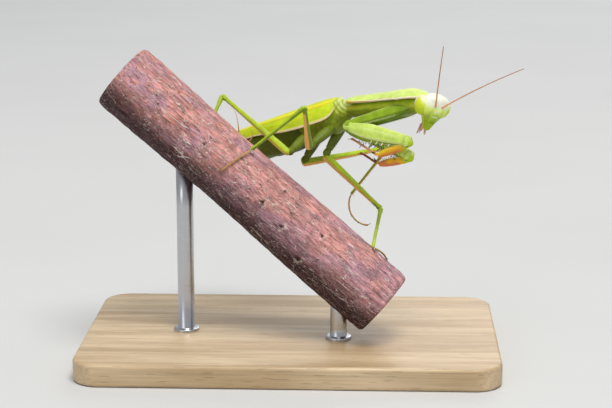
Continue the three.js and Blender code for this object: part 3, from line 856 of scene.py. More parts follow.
@dataclass(frozen=True)
class BarkFinish:
    """Smooth purple-brown bark with pale cracks along it, dark pits, orange patches and bare cut ends; its
    dark underside is painted shade.
    """

    name: str = "branch_bark"
    grain: Aim = Aim()
    top: Colour = (0.58, 0.26, 0.235)
    under: Colour = (0.05, 0.017, 0.02)
    mauve: Colour = (0.46, 0.235, 0.28)
    orange: Colour = (0.62, 0.2, 0.07)
    crack: Colour = (0.84, 0.7, 0.62)
    pit: Colour = (0.03, 0.014, 0.012)
    heart: Colour = (0.66, 0.48, 0.28)

    def material(self) -> Material:
        """Builds the nodes from the masks up (lit top to painted-shade underside), cut (bare wood), ring
        (share of radius), scar, hole and rust.

        Returns:
            The material.
        """
        g = Graph(self.name, specular_ior_level=0.25)
        along = g.place((7.0, 1.0, 1.0), self.grain)
        broad = g.noise(5.0, 4, at=g.place((2.0, 1.0, 1.0), self.grain))
        fine = g.noise(0.32, 4, 0.65, at=along)
        height = g.plus(g.mask("up"), g.times(g.minus(broad, 0.5), 0.9))
        bark = g.mix(g.step(broad, 0.4, 0.6), self.top, self.mauve)
        # painted shade: the under colour darkens the bark's underside, and the top colour is its lit upper
        # side
        bark = g.mix(g.step(height, -0.42, 0.48), self.under, bark)
        patch = g.times(g.step(g.noise(1.6, 5, 0.7), 0.52, 0.66), g.mask("rust"))
        bark = g.mix(g.times(patch, 0.7), bark, self.orange)
        bark = g.shaded(bark, fine, 0.5, 1.5)
        mottle = g.noise(1.0, 5, 0.7, at=g.place((2.4, 1.0, 1.0), self.grain))
        bark = g.shaded(bark, mottle, 0.55, 1.4)
        skewed = g.place((5.0, 1.0, 1.0), Aim(self.grain.heading + 6, self.grain.climb + 9, self.grain.roll))
        lines = g.most(g.wavy_lines(1.2, along, 0.009, 0.46), g.wavy_lines(0.85, skewed, 0.008, 0.47))
        threads = g.most(g.wavy_lines(0.55, along, 0.012, 0.43), g.wavy_lines(0.4, skewed, 0.013, 0.44))
        dark = g.wavy_lines(0.8, along, 0.012, 0.43)
        bark = g.mix(g.times(dark, 0.65), bark, self.under)
        cracks = g.most(lines, g.times(threads, 0.85))
        # painted shade: cracks are dimmer on the underside
        painted_underside_dim = g.step(g.mask("up"), -0.9, 0.4, 0.4, 0.9)
        bark = g.mix(g.times(cracks, painted_underside_dim), bark, self.crack)
        bark = g.mix(g.times(g.mask("scar"), g.step(fine, 0.3, 0.6)), bark, self.crack)
        pit = g.step(g.cells(0.8, at=g.place((1.6, 1.0, 1.0), self.grain)), 0.15, 0.07)
        clusters = g.step(g.plus(g.noise(1.3, 2), g.times(g.mask("rust"), 0.08)), 0.52, 0.6)
        pit = g.most(g.times(pit, clusters), g.mask("hole"))
        bark = g.mix(pit, bark, self.pit)
        unround = g.times(g.noise(2.2, 3), 0.12)
        year = g.calc("SINE", g.times(g.plus(g.mask("ring"), unround), 42.0))
        wood = g.mix(g.step(year, -0.2, 0.95), self.heart, tuple(c * 0.66 for c in self.heart))
        wood = g.shaded(wood, g.noise(0.22, 3), 0.85, 1.1)
        colour = g.mix(g.mask("cut"), bark, wood)
        rough = g.worn(fine, 0.62, 0.85)
        normal = g.bump(g.times(fine, g.minus(1.0, g.mask("cut"))), 0.12)
        normal = g.bump(g.minus(cracks, dark), 0.08, normal)
        normal = g.bump(g.minus(1.0, pit), 0.1, normal)
        normal = g.bump(g.noise(0.1, 2), 0.012, normal)
        return g.finish(colour, rough, normal)


@dataclass(frozen=True)
class WoodFinish:
    """Pale oiled wood with a straight grain along X."""

    name: str = "stand_wood_oiled"
    light: Colour = (0.66, 0.5, 0.31)
    dark: Colour = (0.47, 0.32, 0.17)

    def material(self) -> Material:
        """Builds the nodes: wavy growth bands, long fibres and short pores.

        Returns:
            The material.
        """
        g = Graph(self.name, coat_weight=0.15, coat_roughness=0.35)
        bands_at = g.place((14.0, 1.0, 2.0))
        fibres_at = g.place((40.0, 1.0, 1.0))
        band = g.noise(3.4, 4, 0.5, at=bands_at, warp=0.6)
        fibre = g.noise(0.3, 3, at=fibres_at)
        colour = g.mix(g.step(band, 0.32, 0.7), self.light, self.dark)
        colour = g.shaded(colour, fibre, 0.86, 1.1)
        pore = g.step(g.cells(0.5, at=g.place((10.0, 1.0, 1.0))), 0.16, 0.26)
        colour = g.shaded(colour, pore, 0.8, 1.0)
        rough = g.worn(fibre, 0.36, 0.5)
        normal = g.bump(fibre, 0.02)
        return g.finish(colour, rough, g.bump(pore, 0.02, normal))


@dataclass(frozen=True)
class SteelFinish:
    """Steel brushed round the rod."""

    name: str = "stand_steel_brushed"
    tone: Colour = (0.56, 0.56, 0.58)

    def material(self) -> Material:
        """Builds the nodes: fine level lines, and faint stains in the roughness.

        Returns:
            The material.
        """
        g = Graph(self.name, metallic=1.0)
        line = g.noise(0.08, 2, at=g.place((30.0, 30.0, 1.0)))
        colour = g.shaded(self.tone, line, 0.93, 1.05)
        rough = g.worn(g.noise(2.0, 3), 0.26, 0.36)
        return g.finish(colour, rough, g.bump(line, 0.004))


@dataclass(frozen=True)
class FloorFinish:
    """A plain pale sheet, faintly uneven."""

    name: str = "floor_paper"
    tone: Colour = (0.62, 0.62, 0.61)

    def material(self) -> Material:
        """Builds the nodes: an almost even tone with a fine tooth.

        Returns:
            The material.
        """
        g = Graph(self.name, specular_ior_level=0.2)
        tooth = g.noise(0.4, 2)
        colour = g.shaded(self.tone, g.noise(60.0, 2), 0.985, 1.01)
        return g.finish(colour, g.worn(tooth, 0.85, 0.95), g.bump(tooth, 0.01))


Finish = Cuticle | WingFinish | EyeFinish | RingedFinish | BarkFinish | WoodFinish | SteelFinish | FloorFinish


def make_object(name: str, surface: Shell, finish: Finish) -> bpy.types.Object:
    """Puts a surface into a mesh object at the origin, in metres.

    Args:
        name: the object's name.
        surface: the surface, in millimetres.
        finish: the finish; one material is shared by all pieces with the same one.

    Returns:
        The object, smooth shaded, with the surface's masks as attributes and its UV map.
    """
    mesh = bpy.data.meshes.new(name)
    quads, triangles = surface.quads, surface.triangles
    corners = np.concatenate([quads.ravel(), triangles.ravel()]).astype(np.int32)
    sizes = np.concatenate([np.full(len(quads), 4), np.full(len(triangles), 3)]).astype(np.int32)
    mesh.vertices.add(len(surface.points))
    mesh.vertices.foreach_set("co", (surface.points * METRES_PER_MM).astype(np.float32).ravel())
    mesh.loops.add(len(corners))
    mesh.loops.foreach_set("vertex_index", corners)
    mesh.polygons.add(len(sizes))
    mesh.polygons.foreach_set("loop_start", np.concatenate([[0], np.cumsum(sizes)[:-1]]).astype(np.int32))
    mesh.polygons.foreach_set("use_smooth", np.ones(len(sizes), bool))
    for mask, values in surface.masks.items():
        attribute = mesh.attributes.new(mask, "FLOAT", "POINT")
        attribute.data.foreach_set("value", values.astype(np.float32))
    if surface.uv is not None:
        layer = mesh.uv_layers.new(name="UVMap")
        layer.data.foreach_set("uv", surface.uv[corners].astype(np.float32).ravel())
    mesh.update()
    mesh.validate()
    mesh.materials.append(bpy.data.materials.get(finish.name) or finish.material())
    obj = bpy.data.objects.new(name, mesh)
    bpy.context.scene.collection.objects.link(obj)
    return obj


def add_piece(name: str, shells: Sequence[Shell], finish: Finish, slot: Slot,
              *nodes: str) -> bpy.types.Object:
    """Makes a piece of the model that stands for nodes of the frame.

    Args:
        name: the piece's name.
        shells: its surfaces, in model millimetres.
        finish: its finish.
        slot: the slot of that finish; not used.
        nodes: the frame's nodes that it replaces.

    Returns:
        The piece.
    """
    surface = joined(shells)
    piece = make_object(name, surface, finish)
    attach(piece, "root")
    if nodes:
        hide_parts(*nodes)
    faces = len(surface.quads) + len(surface.triangles)
    log.info("%s: %d faces, for %s", name, faces, ", ".join(nodes) or "-")
    return piece


# ---- Tones of the animal ----------------------------------------------------------

LEG_GREEN = Cuticle("leg_cuticle", upper=(0.42, 0.56, 0.02), lower=(0.19, 0.28, 0.008),
                    blush=(0.92, 0.5, 0.14))
# painted shade: a darkened copy of the leg green for the middle and hind coxae, which lie in shade under the
# body
SHADED_HIP_GREEN = Cuticle("hip_cuticle", upper=(0.14, 0.185, 0.008), lower=(0.07, 0.1, 0.004))
COXA_GREEN = Cuticle("fore_coxa_cuticle", upper=(0.29, 0.44, 0.016), lower=(0.12, 0.2, 0.004),
                     ridge=(0.78, 0.86, 0.4), spine=(0.62, 0.7, 0.26))
FORE_GREEN = Cuticle("foreleg_cuticle", upper=(0.58, 0.75, 0.14), lower=(0.2, 0.33, 0.006),
                     ridge=(0.86, 0.88, 0.46))
TRUNK_GREEN = Cuticle("trunk_cuticle", upper=(0.42, 0.52, 0.02), lower=(0.18, 0.245, 0.006),
                      ridge=(0.84, 0.88, 0.5), blush=(0.56, 0.38, 0.015))
# partly the abdomen's own dark green and partly painted shade, darkened for the shade under the folded wings;
# the tail feelers share it
SHADED_BELLY_GREEN = Cuticle("abdomen_cuticle", upper=(0.17, 0.24, 0.005), lower=(0.1, 0.15, 0.003))
SHIELD_GREEN = Cuticle("pronotum_cuticle", upper=(0.66, 0.82, 0.2), lower=(0.48, 0.66, 0.06),
                       ridge=(0.95, 0.76, 0.64), blush=(0.82, 0.42, 0.04), gloss=0.38)
# painted highlight: the pale upper tone and the near-white spine colour, which the head capsule's masks lay
# over the vertex and the face's pads
FACE_GREEN = Cuticle("face_skin", upper=(0.72, 0.87, 0.14), lower=(0.3, 0.44, 0.004), ridge=(0.8, 0.72, 0.1),
                     blush=(0.9, 0.58, 0.5), spine=(0.93, 0.95, 0.87), gloss=0.34)
ORANGE = Cuticle("tibia_cuticle", upper=(0.84, 0.43, 0.01), lower=(0.88, 0.62, 0.04),
                 ridge=(0.42, 0.58, 0.02), blush=(0.68, 0.22, 0.08), spine=(0.8, 0.6, 0.1))
PINK_FOOT = Cuticle("fore_foot_cuticle", upper=(0.72, 0.32, 0.18), lower=(0.5, 0.18, 0.08),
                    blush=(0.3, 0.06, 0.02), gloss=0.5)
TAN_FOOT = Cuticle("foot_skin", upper=(0.52, 0.31, 0.1), lower=(0.32, 0.15, 0.05), gloss=0.5)
PALP_PINK = Cuticle("palp_cuticle", upper=(0.66, 0.38, 0.24), lower=(0.42, 0.19, 0.09), gloss=0.5, grain=0.06)


# ---- Head -------------------------------------------------------------------------


@dataclass
class Head:
    """The turned head. Its frame has +X out of the face, +Y to its left and +Z to the vertex."""

    place: Place = Place((24.8, -10.0, 46.4), Aim(-64, -20, -15))
    height: float = 6.7
    chin_drop: float = 4.1
    half_width: float = 2.35
    eye_radii: Point = (1.4, 1.2, 1.75)
    eye_centre: Point = (-0.65, 2.2, -0.1)
    eye_lean: float = 16.0
    jaw_length: float = 1.7
    palps: tuple[tuple[Point, float, float], ...] = (
        ((-0.95, 0.45, -3.65), 1.9, 0.13), ((-0.6, 0.3, -4.0), 1.2, 0.11),
    )
    antenna_length: float = 16.0
    antenna_root: Point = (1.2, 0.7, 0.9)
    antenna_aims: dict[Side, tuple[Aim, float]] = field(default_factory=lambda: {
        Side.RIGHT: (Aim(-86, 47), 5.0),
        Side.LEFT: (Aim(-21, 28), 8.0),
    })

    def face_relief(self, y: Array, z: Array) -> tuple[Array, Array]:
        """How far the parts of the face stand out, and where its sutures run.

        Formula: flat pads for the frontal shield, the clypeus and the labrum, rings round the antennal
        sockets, three domes for the simple eyes, and grooves over the vertex and down the cheeks.

        Args:
            y: places across the face.
            z: heights on the face.

        Returns:
            Millimetres outwards, and the share of a suture's dark line.
        """
        out = np.abs(y)
        shield = ease(0.98, 0.74, out + 0.3 * np.abs(z + 0.15)) * between(-0.74, -0.56, 0.2, 0.4, z)
        clypeus = ease(0.14, -0.1, out - 0.7 - 0.12 * (z + 0.8)) * between(-2.14, -1.96, -0.9, -0.72, z)
        round_lip = np.hypot(out / 0.6, np.minimum(z + 2.9, 0) / 0.95)
        labrum = ease(1.1, 0.85, round_lip) * ease(-2.1, -2.3, z)
        socket = np.hypot(out - self.antenna_root[1], z - self.antenna_root[2])
        middle_ocellus = np.hypot(y, z - 1.25)
        side_ocelli = np.hypot(out - 0.32, z - 1.55)
        furrows = (bell(out, 0.6, 0.12) + 0.6 * bell(out, 1.25, 0.16)) * ease(1.0, 1.9, z) * 0.4
        cheek = 0.7 * bell(out, 1.12 + 0.05 * (z + 1), 0.09) * between(-3.0, -2.4, -0.4, 0.3, z)
        sutures = furrows + cheek
        for top, half in ((-0.76, 0.8), (-2.12, 0.68)):
            sutures = sutures + 0.6 * bell(z, top, 0.06) * ease(half + 0.2, half, out)
        height = (
            0.08 * shield + 0.12 * clypeus * (1 - 0.4 * out**2) + 0.14 * labrum * (1 - 0.5 * out**2)
            + 0.07 * bell(socket, 0.27, 0.1) - 0.12 * bell(socket, 0.0, 0.17)
            + 0.09 * ease(0.17, 0.02, middle_ocellus) + 0.08 * ease(0.15, 0.02, side_ocelli) - 0.045 * sutures
        )
        return height, np.clip(sutures, 0, 1)

    def from_eyes(self, points: Array) -> Array:
        """How far points of the head are outside the nearer eye.

        Formula: in an eye's own frame a point's distance from the middle is k times the ellipsoid's in the
        same direction; the result is that distance times 1 - 1 / k.

        Args:
            points: points in the head's frame.

        Returns:
            Millimetres, below 0 inside an eye.
        """
        gaps = []
        for side in Side:
            eye = self.eye_place(side)
            local = (points - np.array(eye.origin)) @ eye.aim.turn()
            share = np.maximum(np.linalg.norm(local / np.array(self.eye_radii), axis=-1), 0.1)
            gaps.append(np.linalg.norm(local, axis=-1) * (1 - 1 / share))
        return np.minimum(*gaps)

    def capsule(self) -> Shell:
        """The head capsule: a rounded triangle, relief pushed out along +X, and a swelling up to the eyes.

        Formula of the swelling: reach times exp(-gap / reach), away from the upright middle line.

        Returns:
            The surface, in the head's frame.
        """
        stations = [
            [0, 0.5, 0.5, 0.8], [0.14, 0.8, 0.8, 1.0], [0.3, 1.35, 1.1, 1.2], [0.48, 2.0, 1.4, 1.3],
            [0.68, self.half_width, 1.6, 1.3], [0.88, 2.1, 1.5, 0.95], [1, 1.7, 1.2, 0.6],
        ]
        shell = Outline(self.height, stations, (0.4, 0.8), rings=170, around=176, squareness=0.8).shell()
        x, y, z = -shell.points[:, 2], shell.points[:, 1], shell.points[:, 0] - self.chin_drop
        front = ease(0.05, 0.45, -shell.masks["up"])
        height, sutures = self.face_relief(y, z)
        rear = ease(-0.1, 0.15, shell.masks["up"])
        smooth = np.stack([x, y, z], -1)
        gap = self.from_eyes(smooth)
        reach = 0.3
        swelling = 0.8 * reach * np.exp(-np.maximum(gap, 0) / reach) * ease(-0.45, -0.1, gap)
        away = unit(np.stack([x + 0.4, y, 0 * z], -1))
        beside_eye = ease(0.5, 0.0, gap)
        rear_edge = ease(2.28, 2.5, z) * ease(0.5, 0.1, -shell.masks["up"])
        # painted highlight: a white crown over the vertex and pale pads on the frontal shield and the
        # clypeus, laid on through the spine mask
        painted_pad_highlight = 0.35 * bell(z, -0.98, 0.16) + 0.45 * bell(z, 0.0, 0.22)
        painted_crown_highlight = 0.9 * ease(-0.1, 1.4, z) * (1 - 0.35 * beside_eye) * (1 - rear_edge)
        # painted light: up is lighter towards the vertex and darker at the back of the head, and line darkens
        # the lower back as painted shade where the head meets the neck
        masks = {
            "up": np.clip(0.5 * z + 0.3 + 0.06 * np.abs(y), -1, 1) - 0.5 * rear,
            "line": np.clip(sutures * front * 0.5 + 0.5 * rear * ease(0.5, -0.5, z), 0, 1) * (1 - beside_eye),
            "ridge": bell(shell.masks["up"], -0.12, 0.09) * ease(-0.3, -0.8, z),
            "blush": 0.8 * rear_edge,
            "spine": np.maximum(painted_crown_highlight, front * painted_pad_highlight * ease(0.78, 0.4, np.abs(y))),
        }
        relief = np.stack([height * front * (1 - beside_eye), 0 * y, 0 * z], -1)
        return replace(shell, points=smooth + relief + away * swelling[:, None], masks=masks)

    def eye_place(self, side: Side) -> Place:
        """An eye's own frame in the head's frame."""
        x, y, z = self.eye_centre
        return Place((x, side.value * y, z), Aim(roll=-side.value * self.eye_lean))

    def eye(self, side: Side) -> Shell:
        """A compound eye: an egg on end, fuller on its outer side, with a pale rim behind.

        Args:
            side: the side that it is on.

        Returns:
            The surface, in the head's frame.
        """
        tilt, around = lattice(np.linspace(-np.pi / 2, np.pi / 2, 56), full_turn(72))
        x, y, z = np.cos(tilt) * np.cos(around), np.cos(tilt) * np.sin(around), np.sin(tilt)
        bulge = 1 + 0.03 * side.value * y
        ball = np.stack([axis * radius for axis, radius in zip((x * bulge, y, z), self.eye_radii)], -1)
        outer = side.value * y
        behind = -0.9 * x + 0.2 * outer + 0.14 * z
        rim = between(0.34, 0.48, 0.66, 0.78, behind)
        # painted sheen: the pale mask marks where the eye whitens towards the face
        pale = 0.85 * ease(0.45, 1.0, 0.35 * x - 0.35 * outer + 0.9 * z)
        return skin(ball, {"up": z, "rim": rim, "pale": pale}).placed(self.eye_place(side))

    def antenna(self, side: Side) -> Shell:
        """A thread of short segments on a stout scape, bent into a slight arc.

        Args:
            side: the side that it is on.

        Returns:
            The surface, in model millimetres.
        """
        aim, bend = self.antenna_aims[side]
        x, y, z = self.antenna_root
        along = np.linspace(-0.45, self.antenna_length, 460)
        path = arc_bend(straight(along), self.antenna_length, bend)
        share = np.clip(along / self.antenna_length, 0, 1)
        scape = bells(along, ((0.3, 0.42, 0.05), (0.95, 0.2, 0.02)))
        segment = 0.17 + 0.1 * share
        joint = np.abs(np.cos(np.pi * along / segment)) ** 6 * ease(1.1, 1.4, along)
        radius = scape + (0.135 - 0.075 * share) * (1 - 0.07 * joint)
        start = self.place.point(x, side.value * y, z)
        return pipe(path, radius, 9, ring=joint).placed(Place(start, aim))

    def palp(self, side: Side, start: Point, length: float, radius: float) -> Shell:
        """A jointed feeler of the mouth: swellings between pinched joints on a hooked path.

        Args:
            side: the side that it is on.
            start: its root, for the left side.
            length: its length in millimetres.
            radius: its greatest radius.

        Returns:
            The surface, in the head's frame.
        """
        s = np.linspace(0, 1, 60)
        path = arc_bend(straight(length * s), length, 50)
        pinch = 1 - 0.22 * np.abs(np.cos(np.pi * s * 4)) ** 8 * (s > 0.1)
        shell = pipe(path, radius * pinch * np.sqrt(ease(1.0, 0.86, s)), 12)
        root = (start[0], side.value * start[1], start[2])
        return shell.marked(up=0.4).placed(Place(root, Aim(side.value * 30, -70)))

    def mandible(self, side: Side) -> Shell:
        """A jaw: a flat tapering wedge that closes under the labrum and darkens to its cutting edge.

        Args:
            side: the side that it is on.

        Returns:
            The surface, in the head's frame.
        """
        stations = [[0, 0.36, 0.42, 0.5], [0.5, 0.34, 0.36, 0.42], [1, 0.16, 0.2, 0.24]]
        shell = Outline(self.jaw_length, stations, (0.2, 0.12), rings=24, around=24, squareness=0.8).shell()
        shell.masks["tip"] = 0.7 * ease(0.86, 1.0, shell.masks["along"])
        return shell.placed(Place((-0.1, side.value * 0.42, -2.9), Aim(0, -96, side.value * 12)))

    def build(self) -> None:
        """Makes the head, its eyes, antennae and mouthparts."""
        add_piece("head_capsule", [self.capsule().placed(self.place)], FACE_GREEN, Slot.FACE, "head")
        for side in Side:
            eye = self.eye(side).placed(self.place)
            add_piece(f"compound_eye_{side.word}", [eye], EyeFinish(), Slot.EYE, f"eye_{side.word}")
            add_piece(f"feeler_{side.word}", [self.antenna(side)], RingedFinish(), Slot.ANTENNA,
                      f"antenna_{side.word}")
        mouth = []
        for side in Side:
            mouth.append(self.mandible(side))
            mouth.extend(self.palp(side, *row) for row in self.palps)
        add_piece("jaws_and_palps", [part.placed(self.place) for part in mouth], PALP_PINK, Slot.MOUTH,
                  "mouthparts")


# ---- Trunk ------------------------------------------------------------------------


@dataclass
class Trunk:
    """Thorax, abdomen and folded wings. Both frames start at the waist: +X forward, +Z out of the back."""

    waist: Point = (10.3, 4.7, 43.7)
    rear_aim: Aim = Aim(-30, 21)
    front_aim: Aim = Aim(-40, 9)
    neck_length: float = 4.2
    neck_aim: Aim = Aim(-68, 4)
    prothorax_length: float = 18.2
    pronotum_half_width: float = 2.6
    pronotum_thickness: float = 0.45
    pterothorax_length: float = 11.0
    abdomen_length: float = 27.0
    abdomen_half_width: float = 3.8
    abdomen_rings: int = 8
    tegmen_length: float = 35.0
    tegmen_half_width: float = 4.5
    tegmen_drop: float = 3.1
    tegmen_thickness: float = 0.22
    cercus_length: float = 4.5
    cercus_spread: float = 22.0
    cercus_joints: int = 11
    fore_hip: Point = (14.6, 1.7, -0.4)
    middle_hip: Point = (-3.6, 2.0, -2.2)
    hind_hip: Point = (-8.8, 2.2, -2.2)

    @property
    def rear(self) -> Place:
        """The frame of the wings, hind thorax and abdomen."""
        return Place(self.waist, self.rear_aim)

    @property
    def front(self) -> Place:
        """The frame of the prothorax."""
        return Place(self.waist, self.front_aim)

    def hips(self) -> list[dict[Side, Point]]:
        """The places of the fore, middle and hind hips in the model, by side."""
        spots = ((self.front, self.fore_hip), (self.rear, self.middle_hip), (self.rear, self.hind_hip))
        return [{side: frame.point(x, side.value * y, z) for side in Side} for frame, (x, y, z) in spots]

    def neck(self) -> Shell:
        """The soft neck, in folds: rings that swell and pinch six times.

        Returns:
            The surface, in model millimetres.
        """
        stations = [[0, 1.15, 1.1, 1.1], [1, 1.2, 1.1, 1.1]]
        outline = Outline(self.neck_length, stations, (0.5, 0.5), rings=60, around=40, reach=(0.5, 0.4))
        t = outline.grid()[0]
        start = self.front.point(self.prothorax_length - 1.4, 0, 0.2)
        return outline.shell(0.06 * np.sin(2 * np.pi * 6 * t) - 0.05).placed(Place(start, self.neck_aim))

    def prothorax(self) -> Shell:
        """The body of the long front thorax, with a fold along each flank and one round the leg roots.

        Returns:
            The surface, in model millimetres.
        """
        stations = [
            [0, 1.4, 0.9, 1.6], [0.3, 1.4, 1.2, 1.5], [0.6, 1.7, 1.4, 1.8],
            [0.76, 2.0, 1.6, 1.75], [0.9, 1.7, 1.5, 1.3], [1, 1.25, 1.1, 0.9],
        ]
        length = self.prothorax_length - 0.3
        outline = Outline(length, stations, (0.8, 0.7), rings=150, around=72, reach=(1.1, 0.2))
        t, _, up, left = outline.grid()
        folds = 0.1 * bell(up, -0.35 + 0.1 * np.sin(3 * t), 0.12) * (1 - bell(t, 0.76, 0.12))
        folds = folds + bells(t, ((0.64, 0.012, 0.09), (0.05, 0.015, 0.08)))
        wrinkles = 0.025 * np.sin(50 * t + 3 * left) * np.abs(left) ** 6 * ease(0.95, 0.7, t)
        blush = 0.5 * bell(up, 0.45, 0.3) * ease(0.5, 0.1, t)
        return outline.shell(wrinkles - folds, blush=blush).placed(self.front)

    def pronotum(self) -> Shell:
        """The saddle over the prothorax: a keel along it, a furrow across it and a beaded, toothed margin.

        Returns:
            The surface, in model millimetres.
        """
        w = self.pronotum_half_width
        stations = [
            [0, 0.3 * w, 1.95, 0.35], [0.05, 0.6 * w, 2.15, 0.7], [0.3, 0.66 * w, 2.35, 1.0],
            [0.58, 0.78 * w, 2.65, 1.2], [0.73, w, 2.85, 1.35], [0.84, 0.93 * w, 2.85, 1.3],
            [0.95, 0.66 * w, 2.35, 0.9], [1, 0.35 * w, 1.75, 0.4],
        ]
        s, c = lattice(crowded(170), np.linspace(-1, 1, 73))
        width, top, drop = follow(stations, s)
        margin = ease(0.9, 0.97, np.abs(c))
        teeth = 0.05 * np.abs(np.sin(95 * s)) ** 3 * ease(0.95, 1.0, np.abs(c))
        keel = 0.12 * bell(c, 0, 0.035) * between(0.02, 0.12, 0.9, 0.98, s)
        furrow = 0.13 * bell(s, 0.715 - 0.02 * c**2, 0.009)
        furrow = furrow + 0.05 * bell(s, 0.79, 0.02) * bell(np.abs(c), 0.45, 0.2)
        grain = 0.012 * np.sin(190 * s + 9 * c) * np.sin(37 * c + 21 * s)
        z = top - drop * np.abs(c) ** 2.2 + keel - furrow + grain + 0.07 * margin
        outer = np.stack([self.prothorax_length * s, c * (width + teeth), z], -1)
        edge = np.minimum(np.sin(np.pi * s) * 8, (1 - np.abs(c)) * 14)
        thickness = self.pronotum_thickness * np.sqrt(np.clip(edge, 0.02, 1))
        rear = ease(0.2, 0.03, s)
        masks = {
            # painted light: up is lightest along the middle of the shield, where the light from above falls,
            # and darker down its sides
            "up": 1 - 1.1 * np.abs(c) ** 3 + 0.3 * ease(0.72, 0.8, s),
            "ridge": margin * (1 - 0.7 * rear) + 0.35 * bell(c, 0, 0.04),
            "blush": np.maximum(margin * rear, 0.5 * margin * ease(0.5, 0.2, s)),
            "line": 0.3 * bell(s, 0.715 - 0.02 * c**2, 0.008),
        }
        return plate(outer, thickness, masks).placed(self.front)

    def pterothorax(self) -> Shell:
        """The thorax under the wing roots: slanted side plates, and pale folds between the wing roots, with
        painted shade in the folds' troughs.

        Returns:
            The surface, in model millimetres.
        """
        stations = [
            [0, 2.5, 1.9, 2.9], [0.35, 2.7, 2.1, 3.3], [0.66, 2.15, 2.1, 3.2], [0.86, 1.75, 2.0, 2.2],
            [1, 1.4, 1.8, 1.5],
        ]
        length = self.pterothorax_length
        outline = Outline(length, stations, (1.2, 1.3), rings=150, around=84, reach=(0.3, 1.3))
        t, _, up, left = outline.grid()
        slant = t - 0.2 * up
        sutures = bells(slant, ((0.2, 0.014, 1), (0.44, 0.014, 1), (0.56, 0.01, 1), (0.74, 0.012, 1)))
        sutures = sutures + 0.7 * bell(up, -0.55 - 0.2 * (t - 0.6), 0.05)
        plates = bells(slant, ((0.5, 0.045, 0.14), (0.65, 0.06, 0.17), (0.84, 0.06, 0.2)))
        hump = 0.55 * bell(t, 0.83, 0.08) * ease(0.3, 0.95, up)
        hips = 0.6 * bells(t, ((0.65, 0.1, 1), (0.18, 0.1, 1))) * bell(up, -0.72, 0.3)
        wave, soft = np.sin(78 * t + 9 * up), ease(0.72, 0.86, t) * ease(-0.7, 0.2, up)
        painted_crease_shade = ease(0.3, 1.0, -wave) * soft
        flank = ease(-0.4, 0.7, up + 0.2 * np.sin(40 * t + 6 * left))
        # painted shade: in the folds' troughs the pale ridge fades and the line mask darkens
        shell = outline.shell(
            plates + hump + hips + 0.065 * wave * soft - 0.14 * sutures - 0.06,
            ridge=0.4 * ease(0.76, 0.9, t) * flank * (1 - 0.7 * painted_crease_shade),
            line=bells(slant, ((0.44, 0.01, 0.5), (0.74, 0.01, 0.7))) + 0.4 * painted_crease_shade,
        )
        shell.points[:, 0] -= length - 0.2
        return shell.placed(self.rear)

    def abdomen(self) -> Shell:
        """The abdomen: rings that overlap rearwards, a soft fold along each flank and a hollow belly.

        Returns:
            The surface, in model millimetres.
        """
        w = self.abdomen_half_width
        stations = [
            [0, 0.3 * w, 0.4, 1.2], [0.12, 0.62 * w, 1.0, 2.4], [0.4, 0.93 * w, 1.6, 3.5],
            [0.7, w, 1.8, 4.1], [0.92, 0.8 * w, 1.9, 4.3], [1, 0.6 * w, 1.7, 3.4],
        ]
        outline = Outline(self.abdomen_length, stations, (2.0, 1.6), rings=260, around=96, squareness=0.92,
                          reach=(0, 0.6))
        t, _, up, left = outline.grid()
        share = np.mod(t * self.abdomen_rings + 0.2, 1.0)
        overlap = 0.16 * (1 - share) * ease(0.0, 0.06, share) - 0.1
        flank = bell(up, -0.2, 0.09)
        hollow = 0.1 * bell(left, 0, 0.12) * (up < 0)
        relief = overlap * (1 - 0.7 * flank) - 0.16 * flank - hollow
        shell = outline.shell(relief, line=0.7 * bell(share, 0.03, 0.05))
        shell.points[:, 0] -= self.pterothorax_length + self.abdomen_length - 1
        return shell.placed(self.rear)

    def tegmen(self, side: Side) -> Shell:
        """A folded forewing: an arch from beyond the midline down the flank; the left one lies on top.

        Formula: y is the half width times the sine of a quarter turn of the share across; z sinks from the
        ridge by the drop times that share to the power 2.2.

        Args:
            side: the side that it is on.

        Returns:
            The surface, in model millimetres.
        """
        stations = [
            [0, 0.27, 2.7, 0.39], [0.03, 0.56, 2.9, 0.9], [0.07, 0.7, 3.05, 1.13], [0.14, 0.83, 3.1, 1.17],
            [0.22, 0.93, 3.1, 1.16], [0.32, 0.98, 3.1, 1.07], [0.42, 0.99, 3.05, 0.86],
            [0.5, 0.99, 3.05, 0.76], [0.7, 1, 2.9, 0.68], [0.88, 0.85, 2.65, 0.6], [1, 0.2, 2.1, 0.12],
        ]
        inner = -0.14 if side is Side.LEFT else 0.02
        s, c = lattice(crowded(220), np.linspace(inner, 1, 84))
        width, top, drop = follow(stations, s)
        reach = self.tegmen_half_width * width
        free = ease(0.0, 0.15, s)
        vein = 0.14 * bell(c, 0.55, 0.035) * free
        veinlets = 0.03 * np.sin(44 * c + 2 * s) * between(0.58, 0.66, 0.86, 0.94, c) * free
        margin = ease(0.93, 0.965, c)
        under = 0.2 * ease(0.35, 0.1, c) if side is Side.RIGHT else 0.13 * ease(0.05, -0.12, c)
        z = top - self.tegmen_drop * drop * np.abs(c) ** 2.2 + vein + veinlets - under
        y = reach * np.sin(c * np.pi / 2) + 0.07 * margin
        outer = np.stack([-1.6 - self.tegmen_length * s, side.value * y, z], -1)
        edge = np.minimum(np.sin(np.pi * s) * 10, np.minimum(1 - c, c - inner) * 30)
        thickness = self.tegmen_thickness * (1 + 0.9 * margin) * np.sqrt(np.clip(edge, 0.02, 1))
        masks = {"across": c, "margin": margin * ease(0.97, 0.9, s)}
        return plate(outer, -side.value * thickness, masks).placed(self.rear)

